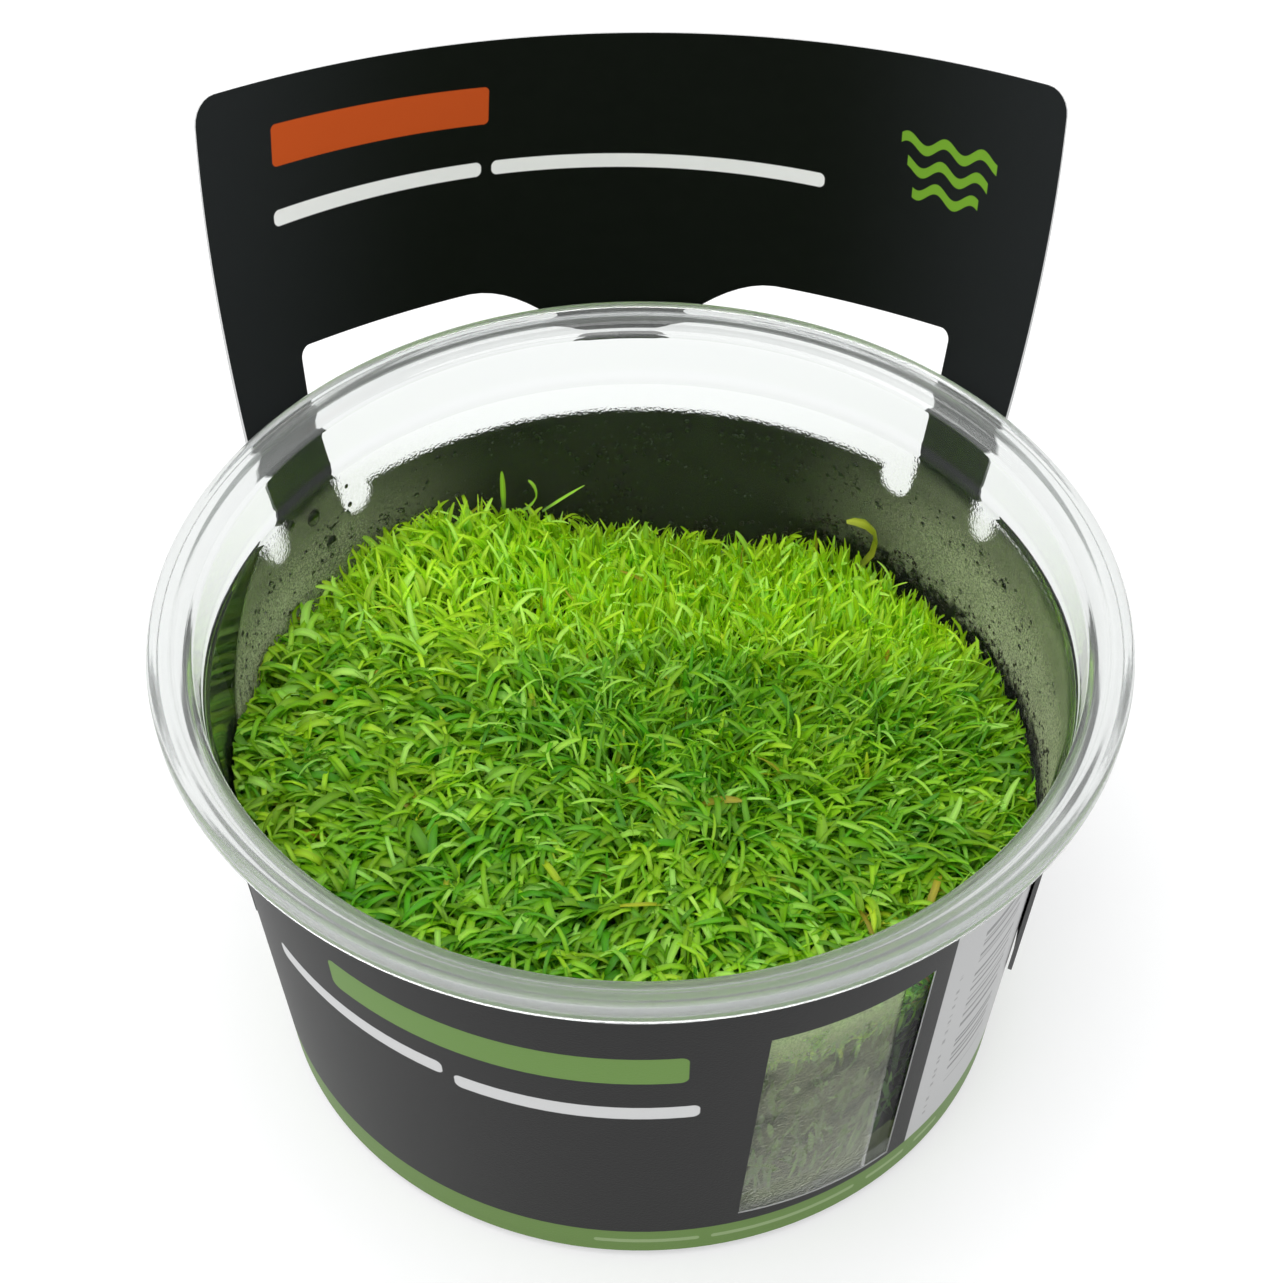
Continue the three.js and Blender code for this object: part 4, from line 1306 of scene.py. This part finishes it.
def carpet():
    """The numbers of every leaf of the carpet, by where it grows."""
    tuft_x, tuft_y = scattered(TUFTS, PLANT_RADIUS, TUFT_JITTER)
    x, y = (np.repeat(t, LEAVES_PER_TUFT) for t in (tuft_x, tuft_y))
    count = len(x)
    x, y = x + rng.normal(0, LEAF_JITTER, count), y + rng.normal(0, LEAF_JITTER, count)
    back, left, right, front = standing(x, y)
    arching = np.clip(left + front, 0, 1)
    sideways = np.arctan2(x - 6 * front, y * (1 - 0.75 * front)) + 0.5 * gentle_field(x, y, 4.0, 0.4)
    tuft_way = np.repeat(rng.uniform(-math.pi, math.pi, TUFTS), LEAVES_PER_TUFT)
    pull = 0.25 + 0.60 * np.clip(arching + right, 0, 1)
    heading = np.where(rng.random(count) < pull, sideways, tuft_way) + rng.normal(0, 0.65, count)
    on_top = rng.random(count) < SHARE_ON_TOP
    depth = np.where(on_top, rng.uniform(-0.5, 0.5, count), rng.uniform(0.4, 3.6 + 1.0 * left, count))
    depth += (0.35 + 0.65 * left) * gentle_field(x, y, 1.7, 1.3)
    yellowness = 0.30 + 0.75 * back + 0.04 * arching + 0.10 * right + 0.20 * gentle_field(x, y, 6.0, 2.2)
    yellowness += rng.normal(0, 0.17, count)
    in_patch = smoothstep(np.hypot(x - PATCH_PLACE[0], y - PATCH_PLACE[1]), *PATCH_REACH)
    withers = rng.random(count) < 0.008 + 0.22 * in_patch
    bend = 1.15 + (1.45 + 0.4 * on_top) * arching - 0.65 * back - 0.3 * right
    # Painted shade: a leaf whose top lies deep under the surface gets a lower shade number, so it is drawn
    # darker.
    shading = (0.05 + 0.08 * left) * np.maximum(depth - 1.0, 0)
    leaf = {
        "root": np.stack([x, y, np.zeros(count)], axis=-1),
        "heading": heading,
        "lean": rng.uniform(-0.2, 0.35, count) * (1 - 0.4 * back) + 0.2 * right,
        "arch": bend + rng.normal(0, 0.5, count),
        "length": 6.8 + (0.2 + 0.9 * on_top) * arching - 1.0 * back + rng.normal(0, 0.9, count),
        "width": (0.42 + 0.12 * arching + 0.03 * right) * np.exp(rng.normal(0, 0.28, count)),
        "twist": rng.normal(0, 0.9, count),
        "swirl": rng.normal(0, 0.7, count),
        # Painted light and shade: the shade number is raised at the back and lowered for deep leaves.
        "shade": np.clip(rng.random(count) + 0.15 * back - shading, 0, 1),
        "tint": np.where(withers, rng.uniform(1.1, 1.6, count), np.clip(yellowness, 0, 1)),
    }
    return leaf, np.maximum(depth, -1.0)


# %% [markdown]
# The carpet is made as four rows from the back to the front, which keeps each piece to a size that is
# easy to work with.

# %% Grow the carpet
ROW_EDGE = 15
carpet_leaves, carpet_depth = carpet()
row = carpet_leaves["root"][:, 1]
quarters = {
    "leaf_carpet_back": row > ROW_EDGE,
    "leaf_carpet_middle_back": (row <= ROW_EDGE) & (row > 0),
    "leaf_carpet_middle_front": (row <= 0) & (row > -ROW_EDGE),
    "leaf_carpet_front": row <= -ROW_EDGE,
}
for name, chosen in quarters.items():
    quarter = {key: value[chosen] for key, value in carpet_leaves.items()}
    leaves(name, leaf_green, quarter, carpet_depth[chosen])

# %% [markdown]
# A few leaves stand out by themselves: an upright one, a bent one and a slanting one at the back left,
# two short ones at the back, one that arches at the left, and one that has curled over at the back
# right and turned olive.

# %% The leaves that stand out
TALL_LEAVES = [
    # root x, y, z, heading, lean, arch, length, width, swirl
    (-14.7, 33.0, 35.7, -170, 0.00, 0.05, 5.7, 0.64, 0.0),
    (-13.0, 33.4, 35.0, 90, 1.10, -1.95, 5.6, 0.72, 0.0),
    (-10.6, 33.4, 35.0, 88, 0.85, 0.10, 5.9, 0.64, 0.0),
    (0.5, 34.4, 27.2, 10, 0.05, 0.15, 4.8, 0.75, 0.0),
    (12.2, 33.2, 27.0, -60, 0.15, 0.7, 4.8, 0.70, 0.0),
    (-30.6, 20.6, 33.0, -100, 0.0, 1.7, 5.6, 0.70, 0.2),
]
CURLED_LEAF = (22.6, 29.8, 29.5, 82, 1.15, -2.75, 10.8, 1.45, 0.0)


def stood_leaves(rows, shade, tint):
    """The numbers of leaves that are placed one by one."""
    x, y, z, heading, *habit = np.array(rows, float).T
    alike = {"twist": 0.4, "shade": shade, "tint": tint}
    return {
        "root": np.stack([x, y, z], axis=-1),
        "heading": np.radians(heading),
        **dict(zip(("lean", "arch", "length", "width", "swirl"), habit)),
        **{key: np.full(len(x), value) for key, value in alike.items()},
    }


leaf_olive = leaf_finish(
    "leaf_olive",
    shaded_stalk=(0.11, 0.16, 0.008, 1.0),
    fresh=(0.36, 0.42, 0.030, 1.0),
    yellow=(0.46, 0.48, 0.040, 1.0),
    pale=(0.50, 0.54, 0.120, 1.0),
)
leaves("leaf_tall", leaf_green, stood_leaves(TALL_LEAVES, 0.9, 0.6))
leaves("leaf_curled", leaf_olive, stood_leaves([CURLED_LEAF], 0.7, 0.5))

# %% [markdown]
# Under the leaves the mat is so dense that nothing can be seen in it. More leaves there would cost much
# and show nothing, so a dark, lumpy body fills it, which is turned like the cup and then pushed up to
# the carpet's surface. Its near-black colour is dark stems and old leaves and painted shade together,
# and its side is painted darker still.


# %% The mat's finish
def mat_finish(name, scale, places, colours):
    """Dark stems and old leaves with painted shade, and paler specks as painted highlights where a stem
    catches the light.
    """
    finish = Finish(name)
    mottle = finish.noise(scale, 4.0)
    stops = [(place, (*colour, 1.0)) for place, colour in zip(places, colours)]
    tangle = finish.bump(mottle, 0.001)
    return finish.surface(finish.skin(finish.ramp(mottle, stops), 0.6, tangle, {"Specular IOR Level": 0.05}))


TOP_COLOURS = [(0.003, 0.004, 0.002), (0.014, 0.026, 0.005), (0.05, 0.08, 0.02)]
# Painted shade: the side wears darker copies of the top's colours.
SHADED_SIDE_COLOURS = [(0.001, 0.002, 0.001), (0.004, 0.009, 0.002), (0.03, 0.07, 0.012)]
mat_top = mat_finish("mat_top", 900.0, (0.35, 0.6, 0.72), TOP_COLOURS)
mat_shaded_side = mat_finish("mat_shaded_side", 1700.0, (0.42, 0.57, 0.68), SHADED_SIDE_COLOURS)
print("mat finishes:", mat_top.name, mat_shaded_side.name)

# %% The mat's body
MAT_FOOT, MAT_DEPTH = 7.2, 5.0
MAT_WALL_GAP, MAT_DRAWN_IN = 0.9, 0.985
MAT_TURNS, MAT_ROWS, MAT_LEVEL = 180, 40, 20.0
LUMP_HEIGHT, EDGE_DROP = 0.9, 1.5


def mat_body():
    """The turned body, with its top pushed up under the carpet's surface."""
    rim = wall_radius(MAT_LEVEL) - WALL - MAT_WALL_GAP
    outline = [(AXIS_GAP, MAT_FOOT), (wall_radius(MAT_FOOT) - WALL - MAT_WALL_GAP, MAT_FOOT)]
    outline += [(rim * share, MAT_LEVEL) for share in np.linspace(1, 0.02, MAT_ROWS)]
    corners, faces = turned(outline, MAT_TURNS)
    top = corners[:, 2] > MAT_LEVEL - 1
    x, y = corners[top, 0], corners[top, 1]
    lumps = LUMP_HEIGHT * np.sin(x * 1.7 + 1.1 * np.sin(y * 1.3)) * np.sin(y * 1.5 + x * 0.4)
    edge = EDGE_DROP * smoothstep(np.hypot(x, y), rim * 0.92, rim)
    corners[top, 2] = tip_height(x, y) - MAT_DEPTH - edge + lumps
    corners = kept_inside(corners)
    corners[:, :2] *= MAT_DRAWN_IN
    on_side = np.arange(len(outline) - 1) < 2
    return mesh_object("mat_body", corners, faces, [mat_top, mat_shaded_side], np.repeat(on_side, MAT_TURNS))


mat = mat_body()
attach(mat, "root")
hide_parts("leaf_carpet")

# %% [markdown]
# The cup is clear, so the plant's side shows all round it. Short leaves press against the wall there,
# in a darker green than the top's, because little light reaches them.

# %% The side leaves
SIDE_LEAVES = 3400
bearing = rng.uniform(0, 2 * math.pi, SIDE_LEAVES)
side_radius = rng.uniform(35.0, 38.2, SIDE_LEAVES)
side_x, side_y = side_radius * np.sin(bearing), side_radius * np.cos(bearing)
side_top = tip_height(side_x, side_y) - 7
side_foot = MAT_FOOT + (side_top - MAT_FOOT) * rng.random(SIDE_LEAVES) * 0.9
side_leaf = {
    "root": np.stack([side_x, side_y, side_foot], axis=-1),
    "heading": bearing + rng.normal(0, 0.9, SIDE_LEAVES),
    "lean": rng.uniform(0.1, 0.6, SIDE_LEAVES),
    "arch": rng.uniform(-0.4, 0.7, SIDE_LEAVES),
    "length": rng.uniform(4, 6.5, SIDE_LEAVES),
    "width": rng.uniform(0.4, 0.8, SIDE_LEAVES),
    "twist": rng.normal(0, 0.6, SIDE_LEAVES),
    "swirl": rng.normal(0, 0.4, SIDE_LEAVES),
    "shade": rng.random(SIDE_LEAVES),
    "tint": 0.5 * rng.random(SIDE_LEAVES),
}
leaf_shaded = leaf_finish(
    "leaf_shaded",
    shaded_stalk=(0.010, 0.034, 0.002, 1.0),
    fresh=(0.040, 0.150, 0.006, 1.0),
    yellow=(0.150, 0.250, 0.020, 1.0),
    pale=(0.160, 0.280, 0.060, 1.0),
)
leaves("leaf_carpet_side", leaf_shaded, side_leaf)

# %% [markdown]
# ## Drops on the wall
#
# The warm, wet air in the cup leaves drops all over the inside of the wall. Each is a small, flat cap
# of water. It has drunk up the mist under it, so it reads as a dark speck with a glint. Their sizes run
# from specks to a few drops that have grown by joining others, and they are real caps, because a bump
# alone would show no glint.

# %% The drops
DROP_FLATNESS = 0.45
SHOULDER = math.radians(42)


def drop_caps(name, bearing, height, radius, materials, sides=7):
    """Flattened caps of water that stand on the inside of the wall, each on a clear spot."""
    centre = on_bearing(bearing, wall_radius(height) - WALL - 0.02, height)
    inward = on_bearing(bearing, -1.0, 0.0)
    across = on_bearing(bearing + 90.0, 1.0, 0.0)
    turn = np.arange(sides) * 2 * math.pi / sides
    sag = 1 + 0.25 * rng.random(len(bearing))

    def ring(width, lift):
        sideways = across[:, None] * (radius[:, None] * width * np.cos(turn))[..., None]
        upward = np.array([0.0, 0.0, 1.0]) * ((radius * sag)[:, None] * width * np.sin(turn))[..., None]
        lifted = inward[:, None] * (radius * DROP_FLATNESS * lift)[:, None, None]
        return centre[:, None] + sideways + upward + lifted

    tip = centre + inward * (radius * DROP_FLATNESS)[:, None]
    shoulder = ring(math.cos(SHOULDER), math.sin(SHOULDER))
    corners = np.concatenate([ring(1.0, 0.0), shoulder, tip[:, None], centre[:, None]], axis=1)
    tip_index, foot_index = 2 * sides, 2 * sides + 1
    faces, slots = [], []
    for k in range(sides):
        following = (k + 1) % sides
        faces += [
            (foot_index, following, k),
            (k, following, following + sides),
            (k, following + sides, k + sides),
            (k + sides, following + sides, tip_index),
        ]
        slots += [1, 0, 0, 0]
    faces = np.array(faces)[None] + (np.arange(len(bearing)) * corners.shape[1])[:, None, None]
    slots = np.tile(slots, len(bearing))
    piece = mesh_object(name, corners.reshape(-1, 3), faces.reshape(-1, 3), materials, slots)
    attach(piece, "root")


# %% [markdown]
# The cap is clear water. Its foot is not: it gets the colour that shows through the bare wall there, a
# deep green grey under the small drops and nearly black under the large ones. Crumbs of old root are
# brown black all over.


# %% Water
def water_finish():
    finish = Finish("water_drop")
    return finish.surface(finish.skin(grey(1.0), 0.0, more={"IOR": 1.33, **CLEAR}))


def spot_finish(name, colour):
    """The bare wet wall under a drop, or a wet crumb."""
    finish = Finish(name)
    speckle = finish.blend(finish.noise(900.0, 2.0), darker(colour, 0.6), colour)
    return finish.surface(finish.skin(speckle, 0.3))


water = water_finish()
wet_spot = spot_finish("wet_spot", (0.060, 0.088, 0.046, 1.0))
dark_spot = spot_finish("dark_spot", (0.016, 0.028, 0.014, 1.0))
debris = spot_finish("debris", (0.022, 0.018, 0.010, 1.0))
print("drop finishes:", water.name, wet_spot.name, dark_spot.name, debris.name)

# %% [markdown]
# Drops are thrown at the wall at random, and kept where real ones stay: above the plant, inside the
# mist and not in the card's bright notches, in loose crowds, and more at the sides than at the back.
# Few of them are large, because a high power of a random share is mostly small.


# %% Where the drops are
def tip_height_at(bearing, radius):
    angle = np.radians(bearing)
    return tip_height(radius * np.sin(angle), radius * np.cos(angle))


DROPS = 9000
drop_bearing = rng.uniform(-92, 112, DROPS)
drop_height = rng.uniform(27, 45.0, DROPS)
drop_radius = 0.07 + 0.07 * rng.random(DROPS) + 0.24 * rng.random(DROPS) ** 7
crowding = gentle_field(drop_bearing, drop_height * 2.5, 6.0, 0.7)
crowding = crowding + 0.6 * gentle_field(drop_bearing, drop_height * 2.5, 2.3, 1.9)
plant_edge = tip_height_at(drop_bearing, 38) - 3.5
climb = np.clip((drop_height - PLANT_TOP) / (STEP_HEIGHT - PLANT_TOP), 0, 1)
mist_edge = FOG_LEFT_FOOT + (FOG_LEFT_TOP - FOG_LEFT_FOOT) * climb**FOG_LEFT_CURVE
share_kept = 0.25 + 0.55 * crowding + 0.35 * smoothstep(np.abs(drop_bearing), 10, 60)
share_kept *= 1.0 - 0.55 * smoothstep(drop_bearing, 15, 45)
stays = (drop_height > plant_edge) & (drop_bearing > mist_edge) & (rng.random(DROPS) < share_kept)
card_angle = drop_bearing - BAND_TURN
in_notch = np.zeros(DROPS, bool)
for notch in (INNER_SLOT, OUTER_SLOT):
    beside = np.abs(np.abs(card_angle) - notch["middle"]) < notch["half"] + 1.0
    in_notch |= beside & (drop_height > notch["top"] - notch["depth"] - 0.6)
stays &= (drop_height < BAND_TOP) & ~in_notch
drop_caps("wall_drops", drop_bearing[stays], drop_height[stays], drop_radius[stays], [water, wet_spot])

# %% [markdown]
# Where the plant has drawn back from the wall, at the right and the back, dark crumbs of old root and
# gel stick to the wet plastic just over its edge.

# %% The crumbs
CRUMBS = 600
crumb_bearing = rng.uniform(8, 118, CRUMBS)
crumb_edge = tip_height_at(crumb_bearing, 38.5)
crumb_lift = 1.0 - 3.5 * rng.random(CRUMBS) + 0.8 * gentle_field(crumb_bearing, crumb_edge, 2.5, 0.3)
crumb_radius = rng.uniform(0.05, 0.24, CRUMBS)
drop_caps("wall_crumbs", crumb_bearing, crumb_edge + crumb_lift, crumb_radius, [debris, debris])

# %% [markdown]
# The largest drops are placed one by one: a few big dark ones at the left, and clear ones that hang at
# the plant's edge and catch the light.

# %% The large drops
LARGE_DROPS = [  # bearing, height, radius
    (-54.6, 42.9, 0.95), (-52.1, 38.2, 0.78), (-51.0, 40.0, 0.28), (-57.5, 39.8, 0.26),
    (-59.3, 44.4, 0.60), (-66.1, 41.9, 0.24), (-66.5, 40.9, 0.3), (-67.3, 40.1, 0.24),
    (-47.5, 43.6, 0.25), (-75.5, 39.6, 0.3), (58.5, 38.8, 0.26), (65.2, 39.5, 0.45),
    (70.5, 37.2, 0.25), (72.6, 35.8, 0.36), (52.0, 41.5, 0.22),
]
GLINT_DROPS = [
    (-59.0, 34.8, 0.34), (-60.5, 35.4, 0.22), (-67.4, 34.2, 0.3), (-69.0, 33.6, 0.18),
    (-64.0, 35.0, 0.2), (-76.0, 33.5, 0.2), (66.0, 34.6, 0.22), (72.5, 33.5, 0.3),
    (73.6, 34.4, 0.2), (79.0, 31.8, 0.26),
]
ROUND_SIDES = 16  # more than the small drops have, because these are seen one by one
drop_caps("large_wall_drops", *np.array(LARGE_DROPS).T, [water, dark_spot], ROUND_SIDES)
drop_caps("clear_wall_drops", *np.array(GLINT_DROPS).T, [water, water], ROUND_SIDES)
